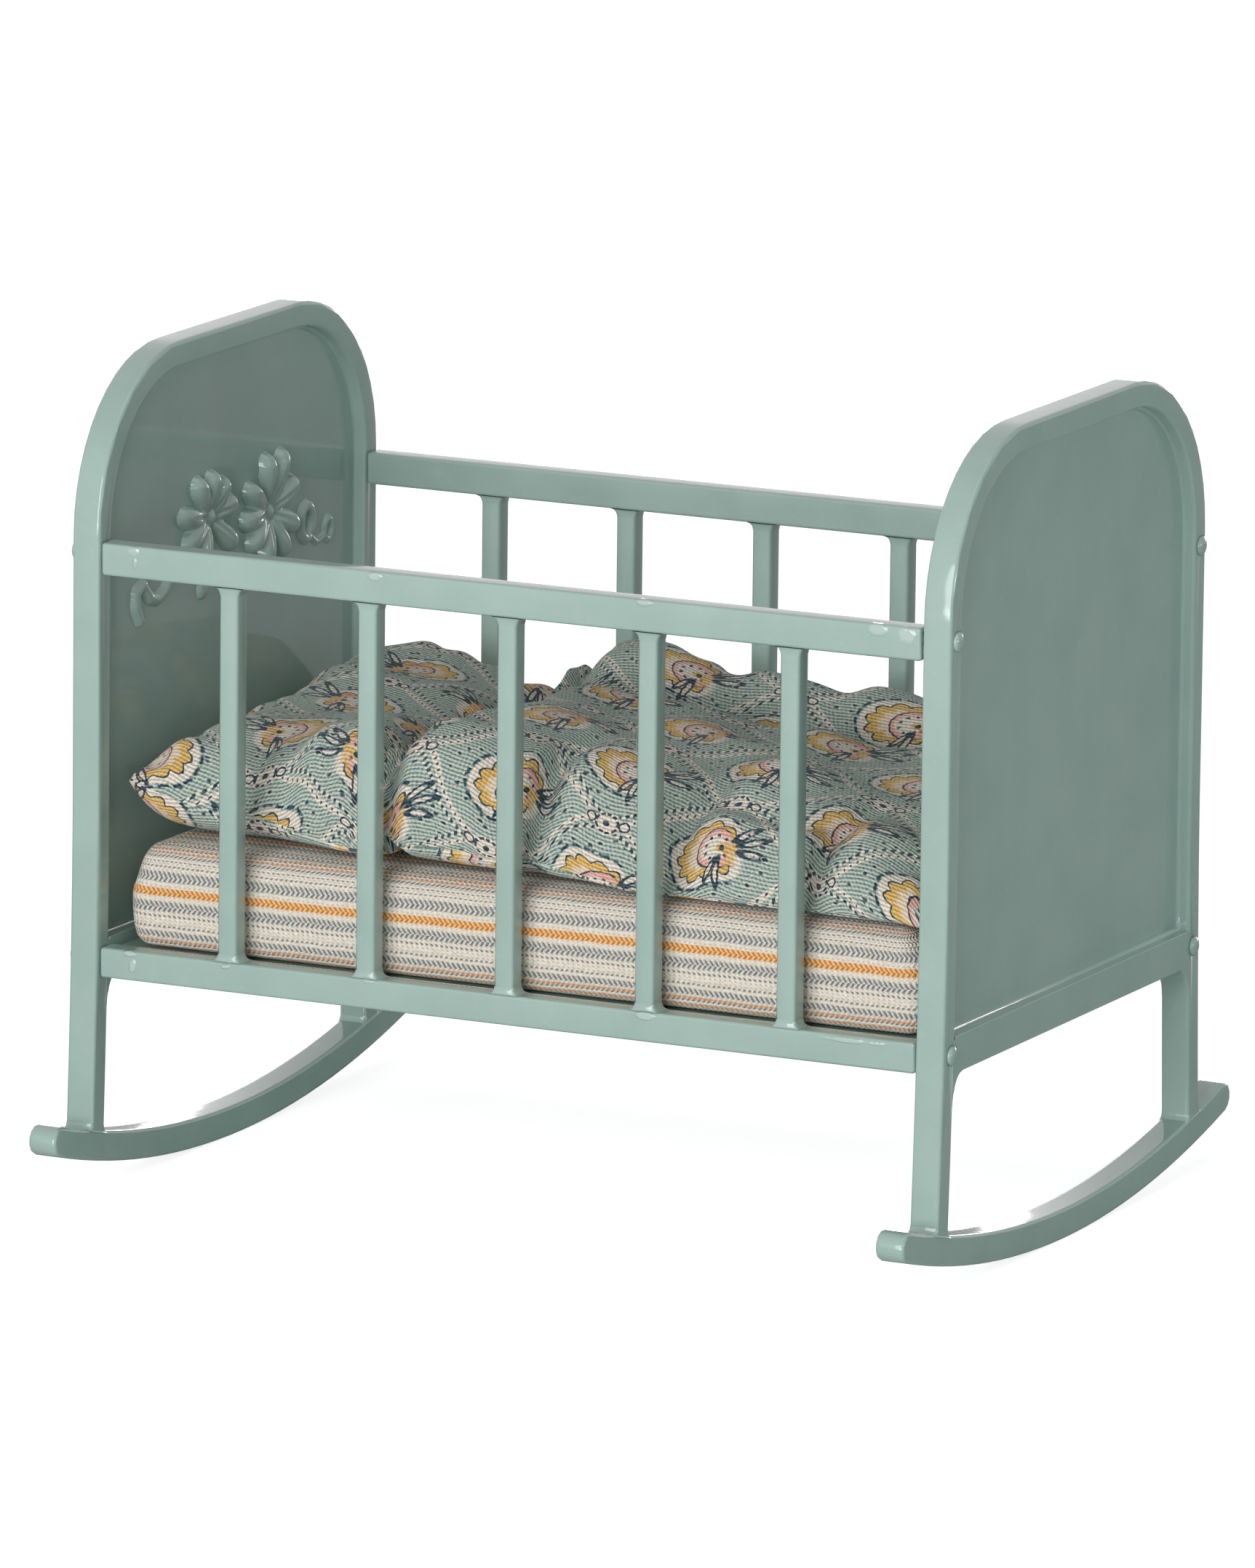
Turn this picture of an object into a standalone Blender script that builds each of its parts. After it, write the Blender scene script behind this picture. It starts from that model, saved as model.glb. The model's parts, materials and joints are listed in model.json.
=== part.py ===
"""Doll cradle: a painted metal frame on two rockers, with a mattress, a pillow and a duvet.

Metres, +Z up. X runs along the cradle, from the headboard at -X to the footboard at +X.
-Y is the front side. The origin is on the floor, under the middle of the cradle.
"""
import math

import bmesh
import bpy

# Ends
LENGTH = 0.125                  # outer face of the headboard bar to that of the footboard bar
HEIGHT = 0.109                  # floor to the top of the ends
END_WIDTH = 0.078               # across the legs, above their splay
CORNER_RADIUS = 0.0225          # outer radius of the bent bar
BAR_DEPTH = 0.004               # bar along X
BAR_WIDTH = 0.0034              # bar in the plane of the end
BAR_ROUND = 0.00045             # rounded long edges of every bar
LEG_SPLAY = 0.0013              # how far each foot stands out
SPLAY_START = 0.050             # height where the splay begins
SPLAY_POWER = 1.6
CROSSBAR_BOTTOM = 0.0286
CROSSBAR_HEIGHT = 0.0048
CROSSBAR_FILLET = 0.0026        # under the crossbar, where it meets the legs
PANEL_THICKNESS = 0.0005

# Rockers
ROCKER_RADIUS = 0.182           # underside
ROCKER_THICKNESS = 0.004
ROCKER_REACH = 0.0505           # middle of the rocker to each tip

# Sides
RAIL_THICKNESS = 0.0032
RAIL_SETBACK = 0.0002           # behind the front of the legs
TOP_RAIL_HEIGHT = 0.0043
RAIL_BELOW_BEND = 0.0006        # top of the rail below the start of the ends' bend
BOTTOM_RAIL_BOTTOM = 0.0286
BOTTOM_RAIL_HEIGHT = 0.0040
SPINDLE_COUNT = 5
SPINDLE_WIDTH = 0.0028          # along X
SPINDLE_DEPTH = 0.0028          # along Y
SPINDLE_ROUND = 0.0004

# Rivets
RIVET_SHANK_RADIUS = 0.0007
RIVET_HEAD_RADIUS = 0.00135
RIVET_HEAD_HEIGHT = 0.0006
RIVET_GRIP = 0.003              # depth of the shank in the end of the rail
RIVET_RISE = 0.0006             # above the middle of the rail

# Bed base
BASE_THICKNESS = 0.0006
BASE_DROP = 0.0008              # top of the base below the top of the bottom rails

# Clearances
JOINT_GAP = 0.0001              # painted joints of the frame
LOOSE_JOINT_GAP = 0.0003        # open seam at the footboard end of the rails
BEDDING_GAP = 0.0003            # bedding to what it lies on
CUT_OVERRUN = 0.001             # cutters past the faces that they cut

# Mattress
MATTRESS_THICKNESS = 0.0137
MATTRESS_SIDE_ROOM = 0.0014     # to the rails
MATTRESS_END_ROOM = 0.0010      # to the end bars
MATTRESS_EDGE = 0.0025          # rounded rim, seen from above
MATTRESS_DRAW = 0.0006          # sides drawn in between the corners
MATTRESS_CROWN = 0.0008

# Pillow
PILLOW_LENGTH = 0.0385          # along X
PILLOW_WIDTH = 0.066
PILLOW_HEAD_ROOM = 0.0012       # to the headboard bar
PILLOW_DRAW = 0.0022
PILLOW_SEAM_HEIGHT = 0.0034     # of its edge seam above the mattress
PILLOW_CROWN = 0.0118           # above the seam
PILLOW_TILT = 0.0014            # rear side higher, and the front side lower
PILLOW_TWIST = 0.0024           # of the crown, lower at the head's front corner

# Duvet
DUVET_WIDTH = 0.067
DUVET_FOOT_ROOM = 0.0012        # to the footboard bar
DUVET_LAP = 0.0035              # over the pillow
DUVET_DRAW = 0.0012
DUVET_SEAM_HEIGHT = 0.0024
DUVET_CROWN = 0.0130
DUVET_TILT = 0.0026             # rear side higher, and the front side lower
DUVET_FALL = 0.0040             # head side higher, and the foot side lower
LAP_THICKNESS = 0.0015          # of the duvet where it lies on the pillow, at the front
LAP_PEAK = 0.0042               # thicker by this at the rear corner
LAP_FALL = 0.005                # past the pillow's seam, down to the mattress
LAP_MARGIN = 0.0013             # room kept round the pillow under the duvet
FOLD_DEPTH = 0.0010             # dips of the folds across the duvet
FOLD_COUNT = 4
FOLD_SLANT_SHARE = 0.35         # how far a fold leans along X on its way to the rear

# Facets
CORNER_STEPS = 12
FILLET_STEPS = 4
SPLAY_STEPS = 5
ROCKER_STEPS = 27               # odd, so that one flat facet rests on the floor
TIP_STEPS = 6
RIVET_SIDES = 12
DOME_STEPS = 3
BEVEL_SEGMENTS = 2
SPINDLE_SEGMENTS = 1
MATTRESS_GRID = (22, 14)
PILLOW_GRID = (16, 20)
DUVET_GRID = (30, 18)

# Places worked out from the sizes
HALF_LENGTH = LENGTH / 2
HALF_END_WIDTH = END_WIDTH / 2
TOP_RAIL_BOTTOM = HEIGHT - CORNER_RADIUS - RAIL_BELOW_BEND - TOP_RAIL_HEIGHT
END_INNER_X = HALF_LENGTH - BAR_DEPTH
RAIL_OUTER_Y = HALF_END_WIDTH - RAIL_SETBACK
RAIL_INNER_Y = RAIL_OUTER_Y - RAIL_THICKNESS
RAIL_MIDDLE_Y = (RAIL_OUTER_Y + RAIL_INNER_Y) / 2
BOTTOM_RAIL_TOP = BOTTOM_RAIL_BOTTOM + BOTTOM_RAIL_HEIGHT
BASE_TOP = BOTTOM_RAIL_TOP - BASE_DROP
MATTRESS_BOTTOM = BASE_TOP + BEDDING_GAP
MATTRESS_TOP = MATTRESS_BOTTOM + MATTRESS_THICKNESS
BEDDING_REST = MATTRESS_TOP + BEDDING_GAP
PILLOW_HEAD_X = -END_INNER_X + PILLOW_HEAD_ROOM
PILLOW_FOOT_X = PILLOW_HEAD_X + PILLOW_LENGTH
PILLOW_MIDDLE_X = (PILLOW_HEAD_X + PILLOW_FOOT_X) / 2
DUVET_HEAD_X = PILLOW_FOOT_X - DUVET_LAP
DUVET_FOOT_X = END_INNER_X - DUVET_FOOT_ROOM
DUVET_MIDDLE_X = (DUVET_HEAD_X + DUVET_FOOT_X) / 2
DUVET_LENGTH = DUVET_FOOT_X - DUVET_HEAD_X


def clear_scene():
    for item in list(bpy.data.objects):
        bpy.data.objects.remove(item, do_unlink=True)


def make_material(name, colour, roughness, metallic=0.0):
    material = bpy.data.materials.new(name)
    material.use_nodes = True
    shader = material.node_tree.nodes["Principled BSDF"]
    shader.inputs["Base Color"].default_value = (*colour, 1.0)
    shader.inputs["Roughness"].default_value = roughness
    shader.inputs["Metallic"].default_value = metallic
    material.diffuse_color = (*colour, 1.0)
    return material


def finish_object(name, shape, material):
    """Turn a bmesh into a named, smooth-shaded object with its own copy of a material."""
    bmesh.ops.recalc_face_normals(shape, faces=shape.faces)
    mesh = bpy.data.meshes.new(name)
    shape.to_mesh(mesh)
    shape.free()
    mesh.shade_smooth()
    mesh.set_sharp_from_angle(angle=math.radians(40))
    own = material.copy()
    own.name = name
    mesh.materials.append(own)
    item = bpy.data.objects.new(name, mesh)
    bpy.context.scene.collection.objects.link(item)
    return item


def add_plate(name, outline, x_low, depth, material):
    """Extrude a closed outline of (y, z) points along X."""
    shape = bmesh.new()
    low = [shape.verts.new((x_low, y, z)) for y, z in outline]
    face = shape.faces.new(low)
    grown = bmesh.ops.extrude_face_region(shape, geom=[face])
    moved = [part for part in grown["geom"] if isinstance(part, bmesh.types.BMVert)]
    bmesh.ops.translate(shape, verts=moved, vec=(depth, 0, 0))
    return finish_object(name, shape, material)


def add_block(name, low, high, material):
    """A rectangular bar between two opposite corners."""
    outline = [(low[1], low[2]), (high[1], low[2]), (high[1], high[2]), (low[1], high[2])]
    return add_plate(name, outline, low[0], high[0] - low[0], material)


def round_edges(item, width, segments):
    bevel = item.modifiers.new("rounded edges", "BEVEL")
    bevel.width = width
    bevel.segments = segments
    bevel.limit_method = "ANGLE"
    bevel.angle_limit = math.radians(60)


def cut(item, cutter):
    boolean = item.modifiers.new("hole", "BOOLEAN")
    boolean.operation = "DIFFERENCE"
    boolean.object = cutter


def add_turned(name, profile, centre, direction, sides, material):
    """Turn (distance along X, radius) points about an axis along X through centre."""
    shape = bmesh.new()
    rings = []
    for along, radius in profile:
        x = centre[0] + direction * along
        if radius == 0:
            rings.append([shape.verts.new((x, centre[1], centre[2]))])
            continue
        ring = []
        for step in range(sides):
            angle = math.tau * step / sides
            ring.append(shape.verts.new((x, centre[1] + radius * math.cos(angle),
                                         centre[2] + radius * math.sin(angle))))
        rings.append(ring)
    for first, second in zip(rings, rings[1:]):
        join_rings(shape, first, second)
    for ring in (rings[0], rings[-1]):
        if len(ring) > 1:
            shape.faces.new(ring)
    return finish_object(name, shape, material)


def join_rings(shape, first, second):
    """Faces between two rings, either of which may be a single point."""
    if len(first) == 1:
        first, second = second, first
    count = len(first)
    for step in range(count):
        after = (step + 1) % count
        if len(second) == 1:
            shape.faces.new((first[step], first[after], second[0]))
        else:
            shape.faces.new((first[step], first[after], second[after], second[step]))


def rocker_top(y):
    """Height of the upper face of a rocker."""
    return ROCKER_RADIUS - math.sqrt((ROCKER_RADIUS - ROCKER_THICKNESS) ** 2 - y ** 2)


def leg_flare(z):
    """How far a leg stands outside its straight part at height z."""
    foot = rocker_top(HALF_END_WIDTH)
    share = max(0.0, (SPLAY_START - z) / (SPLAY_START - foot))
    return LEG_SPLAY * share ** SPLAY_POWER


def end_edge(inset):
    """Half of an end's outline, inset from the outside, from the foot to the top's middle."""
    half_width = HALF_END_WIDTH - inset
    radius = CORNER_RADIUS - inset
    foot_y = half_width + LEG_SPLAY
    foot = rocker_top(foot_y) + JOINT_GAP
    points = [(foot_y, foot)]
    for step in range(1, SPLAY_STEPS + 1):
        z = foot + (SPLAY_START - foot) * step / SPLAY_STEPS
        points.append((half_width + leg_flare(z), z))
    for step in range(CORNER_STEPS + 1):
        angle = math.pi / 2 * step / CORNER_STEPS
        points.append((half_width - radius + radius * math.cos(angle),
                       HEIGHT - CORNER_RADIUS + radius * math.sin(angle)))
    return points


def mirrored(points):
    """The same half outline on the other side, walked back to its start."""
    return [(-y, z) for y, z in reversed(points)]


def arch_outline():
    outer = end_edge(0)
    inner = end_edge(BAR_WIDTH)
    return outer + mirrored(outer) + [(-y, z) for y, z in inner] + list(reversed(inner))


def panel_outline():
    """Inside the arch, from the top of the crossbar up."""
    bottom = CROSSBAR_BOTTOM + CROSSBAR_HEIGHT + JOINT_GAP
    inset = BAR_WIDTH + JOINT_GAP
    side = [(HALF_END_WIDTH - inset + leg_flare(bottom), bottom)]
    side += [point for point in end_edge(inset) if point[1] > bottom]
    return side + mirrored(side)


def crossbar_outline():
    """A bar whose underside curves down into the legs."""
    high = CROSSBAR_BOTTOM + CROSSBAR_HEIGHT
    inner = HALF_END_WIDTH - BAR_WIDTH - JOINT_GAP
    side = []
    for step in range(FILLET_STEPS + 1):
        angle = math.pi / 2 * step / FILLET_STEPS
        z = CROSSBAR_BOTTOM - CROSSBAR_FILLET * (1 - math.cos(angle))
        side.append((inner + leg_flare(z) - CROSSBAR_FILLET * (1 - math.sin(angle)), z))
    side.append((inner + leg_flare(high), high))
    return side + mirrored(side)


def rocker_outline():
    """A bar on an arc with half-round tips, made of facets that touch the true arc."""
    middle_radius = ROCKER_RADIUS - ROCKER_THICKNESS / 2
    sweep = math.asin((ROCKER_REACH - ROCKER_THICKNESS / 2) / middle_radius)
    outer_radius = ROCKER_RADIUS / math.cos(sweep / ROCKER_STEPS)
    points = []
    for step in range(ROCKER_STEPS + 1):
        angle = sweep * (2 * step / ROCKER_STEPS - 1)
        points.append((outer_radius * math.sin(angle), ROCKER_RADIUS - outer_radius * math.cos(angle)))
    points += rocker_tip(middle_radius, sweep, 1)
    inner_radius = ROCKER_RADIUS - ROCKER_THICKNESS
    for step in range(ROCKER_STEPS + 1):
        angle = sweep * (1 - 2 * step / ROCKER_STEPS)
        points.append((inner_radius * math.sin(angle), ROCKER_RADIUS - inner_radius * math.cos(angle)))
    points += rocker_tip(middle_radius, sweep, -1)
    return points


def rocker_tip(middle_radius, sweep, side):
    """Points round a half-round tip, without its two ends on the arcs."""
    centre_y = middle_radius * math.sin(sweep) * side
    centre_z = ROCKER_RADIUS - middle_radius * math.cos(sweep)
    points = []
    for step in range(1, TIP_STEPS):
        turn = -math.pi / 2 + math.pi * step / TIP_STEPS
        angle = turn + sweep
        points.append((centre_y + side * ROCKER_THICKNESS / 2 * math.cos(angle),
                       centre_z + ROCKER_THICKNESS / 2 * math.sin(angle)))
    return points if side > 0 else list(reversed(points))


def rivet_places():
    """Name, side of X, y and z of each rivet."""
    heights = {"top": TOP_RAIL_BOTTOM + TOP_RAIL_HEIGHT / 2 + RIVET_RISE,
               "bottom": BOTTOM_RAIL_BOTTOM + BOTTOM_RAIL_HEIGHT / 2 + RIVET_RISE}
    for end, side in (("headboard", -1), ("footboard", 1)):
        for face, y in (("front", -RAIL_MIDDLE_Y), ("rear", RAIL_MIDDLE_Y)):
            for level, z in heights.items():
                yield f"{end}_{face}_{level}", side, y, z


def add_rivet_cutters(guide):
    """One cutter for each rivet, through the leg and into the end of the rail."""
    cutters = {}
    radius = RIVET_SHANK_RADIUS + JOINT_GAP
    depth = BAR_DEPTH + RIVET_GRIP + JOINT_GAP
    profile = [(CUT_OVERRUN, radius), (-depth, radius)]
    for name, side, y, z in rivet_places():
        cutter = add_turned("cutter_" + name, profile, (side * HALF_LENGTH, y, z), side,
                            RIVET_SIDES, guide)
        cutter.hide_render = True
        cutter.display_type = "WIRE"
        cutters[name] = cutter
    return cutters


def add_rivets(paint):
    """Domed heads on the outside of the legs, each with a shank through to the rail."""
    profile = [(-BAR_DEPTH - RIVET_GRIP, RIVET_SHANK_RADIUS), (JOINT_GAP, RIVET_SHANK_RADIUS)]
    for step in range(DOME_STEPS + 1):
        angle = math.pi / 2 * step / DOME_STEPS
        radius = RIVET_HEAD_RADIUS * math.cos(angle) if step < DOME_STEPS else 0
        profile.append((JOINT_GAP + RIVET_HEAD_HEIGHT * math.sin(angle), radius))
    for name, side, y, z in rivet_places():
        add_turned("rivet_" + name, profile, (side * HALF_LENGTH, y, z), side, RIVET_SIDES, paint)


def add_end(end, side, paint, cutters):
    """An arch with its crossbar, its panel and its rocker."""
    x_low = min(side * HALF_LENGTH, side * END_INNER_X)
    arch = add_plate(end + "_arch", arch_outline(), x_low, BAR_DEPTH, paint)
    round_edges(arch, BAR_ROUND, BEVEL_SEGMENTS)
    for name, cutter in cutters.items():
        if name.startswith(end):
            cut(arch, cutter)
    crossbar = add_plate(end + "_crossbar", crossbar_outline(), x_low, BAR_DEPTH, paint)
    round_edges(crossbar, BAR_ROUND, BEVEL_SEGMENTS)
    rocker = add_plate(end + "_runner", rocker_outline(), x_low, BAR_DEPTH, paint)
    round_edges(rocker, BAR_ROUND, BEVEL_SEGMENTS)
    panel_x = x_low + (BAR_DEPTH - PANEL_THICKNESS) / 2
    add_plate(end + "_panel", panel_outline(), panel_x, PANEL_THICKNESS, paint)


def add_side(face, side, paint, cutters):
    """Two rails and the spindles between them."""
    y_low = min(side * RAIL_OUTER_Y, side * RAIL_INNER_Y)
    x_low = -END_INNER_X + JOINT_GAP
    x_high = END_INNER_X - LOOSE_JOINT_GAP
    levels = {"top": (TOP_RAIL_BOTTOM, TOP_RAIL_HEIGHT),
              "bottom": (BOTTOM_RAIL_BOTTOM, BOTTOM_RAIL_HEIGHT)}
    for level, (z_low, height) in levels.items():
        rail = add_block(f"{face}_{level}_rail", (x_low, y_low, z_low),
                         (x_high, y_low + RAIL_THICKNESS, z_low + height), paint)
        round_edges(rail, BAR_ROUND, BEVEL_SEGMENTS)
        for name, cutter in cutters.items():
            if name.endswith(f"{face}_{level}"):
                cut(rail, cutter)
    z_low = BOTTOM_RAIL_TOP + JOINT_GAP
    z_high = TOP_RAIL_BOTTOM - JOINT_GAP
    y_middle = side * RAIL_MIDDLE_Y
    clear_gap = (2 * END_INNER_X - SPINDLE_COUNT * SPINDLE_WIDTH) / (SPINDLE_COUNT + 1)
    for number in range(1, SPINDLE_COUNT + 1):
        x = -END_INNER_X + number * clear_gap + (number - 1) * SPINDLE_WIDTH
        spindle = add_block(f"{face}_spindle_{number}", (x, y_middle - SPINDLE_DEPTH / 2, z_low),
                            (x + SPINDLE_WIDTH, y_middle + SPINDLE_DEPTH / 2, z_high), paint)
        round_edges(spindle, SPINDLE_ROUND, SPINDLE_SEGMENTS)


def add_base(paint):
    half_x = END_INNER_X - JOINT_GAP
    half_y = RAIL_INNER_Y - JOINT_GAP
    add_block("bed_base", (-half_x, -half_y, BASE_TOP - BASE_THICKNESS),
              (half_x, half_y, BASE_TOP), paint)


def swell(share, power):
    """1 in the middle and 0 at the rim, flatter on top with a higher power."""
    return math.sqrt(max(0.0, 1.0 - abs(share) ** power))


def even_to_rim(count, step):
    """From -1 to 1, with the steps closer together near the rim."""
    return math.sin(math.pi / 2 * (2 * step / count - 1))


def add_pad(name, grid, place, top, bottom, material):
    """A closed pad from two height functions of (u, v), which meet round its rim."""
    count_u, count_v = grid
    shape = bmesh.new()
    upper = {}
    lower = {}
    for i in range(count_u + 1):
        for j in range(count_v + 1):
            u = even_to_rim(count_u, i)
            v = even_to_rim(count_v, j)
            x, y = place(u, v)
            upper[i, j] = shape.verts.new((x, y, top(u, v)))
            rim = i in (0, count_u) or j in (0, count_v)
            lower[i, j] = upper[i, j] if rim else shape.verts.new((x, y, bottom(u, v)))
    for i in range(count_u):
        for j in range(count_v):
            corners = ((i, j), (i + 1, j), (i + 1, j + 1), (i, j + 1))
            shape.faces.new([upper[corner] for corner in corners])
            shape.faces.new([lower[corner] for corner in reversed(corners)])
    return finish_object(name, shape, material)


def drawn_place(middle_x, half_x, half_y, draw):
    """Plan of a pad whose four sides pull in between its corners."""
    def place(u, v):
        x = middle_x + u * (half_x - draw * (1 - v * v))
        y = v * (half_y - draw * (1 - u * u))
        return x, y
    return place


def add_mattress(cover):
    """A firm pad: upright sides, a slight crown and rounded corners."""
    half_x = END_INNER_X - MATTRESS_END_ROOM
    half_y = RAIL_INNER_Y - MATTRESS_SIDE_ROOM
    middle = (MATTRESS_TOP + MATTRESS_BOTTOM) / 2
    half_height = MATTRESS_THICKNESS / 2 - MATTRESS_CROWN
    place = drawn_place(0, half_x, half_y, MATTRESS_DRAW)

    def rim(u, v):
        """0 on the rim, 1 from the width of the rounded edge inwards."""
        inside = min((1 - abs(u)) * half_x, (1 - abs(v)) * half_y)
        return swell(max(0.0, 1 - inside / MATTRESS_EDGE), 3)

    def top(u, v):
        return middle + half_height * rim(u, v) + MATTRESS_CROWN * swell(u, 4) * swell(v, 2)

    def bottom(u, v):
        return middle - (half_height + MATTRESS_CROWN) * rim(u, v)
    add_pad("mattress", MATTRESS_GRID, place, top, bottom, cover)


def within(share):
    return max(-1.0, min(1.0, share))


def pillow_cover(x, y):
    """Height over the pillow at a point in plan, which falls to the mattress past its seam."""
    u = 0.0
    v = 0.0
    for _ in range(4):
        half_x = PILLOW_LENGTH / 2 - PILLOW_DRAW * (1 - v * v)
        u = within((x - PILLOW_MIDDLE_X) / half_x)
        v = within(y / (PILLOW_WIDTH / 2 - PILLOW_DRAW * (1 - u * u)))
    past = max(0.0, x - PILLOW_MIDDLE_X - half_x)
    fall = max(0.0, 1 - past / LAP_FALL)
    return BEDDING_REST + (pillow_top(u, v) - BEDDING_REST) * fall


def pillow_top(u, v):
    seam = BEDDING_REST + PILLOW_SEAM_HEIGHT
    crown = PILLOW_CROWN + PILLOW_TILT * v - PILLOW_TWIST * u * v
    return seam + crown * swell(u, 4) * swell(v, 8)


def pillow_bottom(u, v):
    return BEDDING_REST + PILLOW_SEAM_HEIGHT * (1 - swell(u, 6) * swell(v, 8))


def add_pillow(cover):
    place = drawn_place(PILLOW_MIDDLE_X, PILLOW_LENGTH / 2, PILLOW_WIDTH / 2, PILLOW_DRAW)
    add_pad("pillow", PILLOW_GRID, place, pillow_top, pillow_bottom, cover)


def add_duvet(cover):
    """Lies on the mattress and laps over the foot side of the pillow, with folds across it."""
    place = drawn_place(DUVET_MIDDLE_X, DUVET_LENGTH / 2, DUVET_WIDTH / 2, DUVET_DRAW)
    seam = BEDDING_REST + DUVET_SEAM_HEIGHT

    def pillow_below(u, v):
        x, y = place(u, v)
        nearby = (-LAP_MARGIN, 0, LAP_MARGIN)
        highest = max(pillow_cover(x + dx, y + dy) for dx in nearby for dy in nearby)
        return highest + BEDDING_GAP if highest > BEDDING_REST else BEDDING_REST

    def fold(u, v):
        phase = FOLD_COUNT * (u + FOLD_SLANT_SHARE * v)
        return FOLD_DEPTH * (1 - math.cos(math.pi * phase)) / 2

    def bottom(u, v):
        lying = BEDDING_REST + DUVET_SEAM_HEIGHT * (1 - swell(u, 8) * swell(v, 8))
        return max(lying, pillow_below(u, v))

    def top(u, v):
        crown = DUVET_CROWN + DUVET_TILT * v - DUVET_FALL * u - fold(u, v)
        puff = crown * swell(u, 8) * swell(v, 10)
        lap = LAP_THICKNESS + LAP_PEAK * (1 + v) / 2 * swell(v, 8)
        return max(seam + puff, pillow_below(u, v) + lap)
    add_pad("duvet", DUVET_GRID, place, top, bottom, cover)


def main():
    clear_scene()
    paint = make_material("green paint", (0.33, 0.44, 0.41), 0.25)
    stripe = make_material("striped weave", (0.62, 0.56, 0.48), 0.9)
    print_cover = make_material("printed twill", (0.30, 0.38, 0.35), 0.85)
    cutters = add_rivet_cutters(paint)
    add_end("headboard", -1, paint, cutters)
    add_end("footboard", 1, paint, cutters)
    add_side("front", -1, paint, cutters)
    add_side("rear", 1, paint, cutters)
    add_rivets(paint)
    add_base(paint)
    add_mattress(stripe)
    add_pillow(print_cover)
    add_duvet(print_cover)


main()
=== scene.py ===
"""Looks of the doll cradle: enamelled metal frame, striped mattress, printed pillow and duvet.

Metres, in the frame of the CAD: X along the cradle with the headboard at -X, -Y is the front, Z is up.
"""
import json
import math

import bpy
import numpy as np
from mathutils import Matrix, Vector
from mathutils.bvhtree import BVHTree

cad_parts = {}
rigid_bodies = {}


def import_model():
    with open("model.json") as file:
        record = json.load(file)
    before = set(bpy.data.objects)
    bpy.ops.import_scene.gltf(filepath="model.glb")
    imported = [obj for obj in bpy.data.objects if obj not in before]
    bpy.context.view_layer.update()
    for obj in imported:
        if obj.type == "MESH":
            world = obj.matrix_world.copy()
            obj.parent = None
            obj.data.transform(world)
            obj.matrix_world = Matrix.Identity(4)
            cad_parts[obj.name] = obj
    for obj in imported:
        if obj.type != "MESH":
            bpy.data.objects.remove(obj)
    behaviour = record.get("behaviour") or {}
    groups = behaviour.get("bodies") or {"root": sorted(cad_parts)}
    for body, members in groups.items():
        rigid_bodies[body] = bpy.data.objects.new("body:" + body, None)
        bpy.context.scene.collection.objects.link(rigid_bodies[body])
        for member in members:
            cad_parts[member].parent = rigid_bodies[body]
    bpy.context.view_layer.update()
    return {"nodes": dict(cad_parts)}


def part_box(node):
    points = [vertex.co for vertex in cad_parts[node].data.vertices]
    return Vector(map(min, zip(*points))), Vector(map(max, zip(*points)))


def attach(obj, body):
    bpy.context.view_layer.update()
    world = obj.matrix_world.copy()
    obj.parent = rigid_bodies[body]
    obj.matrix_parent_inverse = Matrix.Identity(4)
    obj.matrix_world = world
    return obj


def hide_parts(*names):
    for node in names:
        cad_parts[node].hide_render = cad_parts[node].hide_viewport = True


for leftover in list(bpy.data.objects):
    bpy.data.objects.remove(leftover, do_unlink=True)
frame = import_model()
NODES = frame["nodes"]
MM = 0.001

# Camera of the photograph
CAMERA_PLACE = Vector((0.8191, -1.6683, 0.43663))
CAMERA_RIGHT = Vector((0.89624, 0.443432, 0.011015))
CAMERA_FORWARD = Vector((-0.432311, 0.878784, -0.202101))
FOCAL_PIXELS = 20109.0
IMAGE_HEIGHT = 2156
SENSOR = 36.0

# Sizes of the metal frame, as in the CAD
HALF_LENGTH = 0.0625
HEIGHT = 0.109
HALF_END_WIDTH = 0.039
CORNER_RADIUS = 0.0225
BAR_DEPTH = 0.004
BAR_WIDTH = 0.0034
LEG_SPLAY = 0.0013
SPLAY_START = 0.050
SPLAY_POWER = 1.6
ROCKER_RADIUS = 0.182
ROCKER_THICKNESS = 0.004
CROSSBAR_BOTTOM = 0.0286
CROSSBAR_TOP = 0.0334
PANEL_THICKNESS = 0.0005

# Bedding
BED_REST = 0.0461               # underside of the pillow and duvet
MATTRESS_BOTTOM = 0.0321
MATTRESS_TOP = 0.0457
MATTRESS_HALF_LENGTH = 0.0573
MATTRESS_HALF_WIDTH = 0.0342
MATTRESS_CORNER = 0.003
MATTRESS_LOW_EDGE = 0.0019      # radius of the rounding round the bottom
MATTRESS_EDGE_IN = 0.0036       # size of the rounding round the top
MATTRESS_EDGE_UP = 0.0025
SIDE_LIMIT = 0.0354             # bedding keeps inside the spindles


def srgb(red, green, blue):
    """Linear colour of 0 to 255 screen values."""
    def channel(value):
        value /= 255
        return value / 12.92 if value <= 0.04045 else ((value + 0.055) / 1.055) ** 2.4
    return (channel(red), channel(green), channel(blue), 1.0)


# Shader values that add and multiply like numbers

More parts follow.
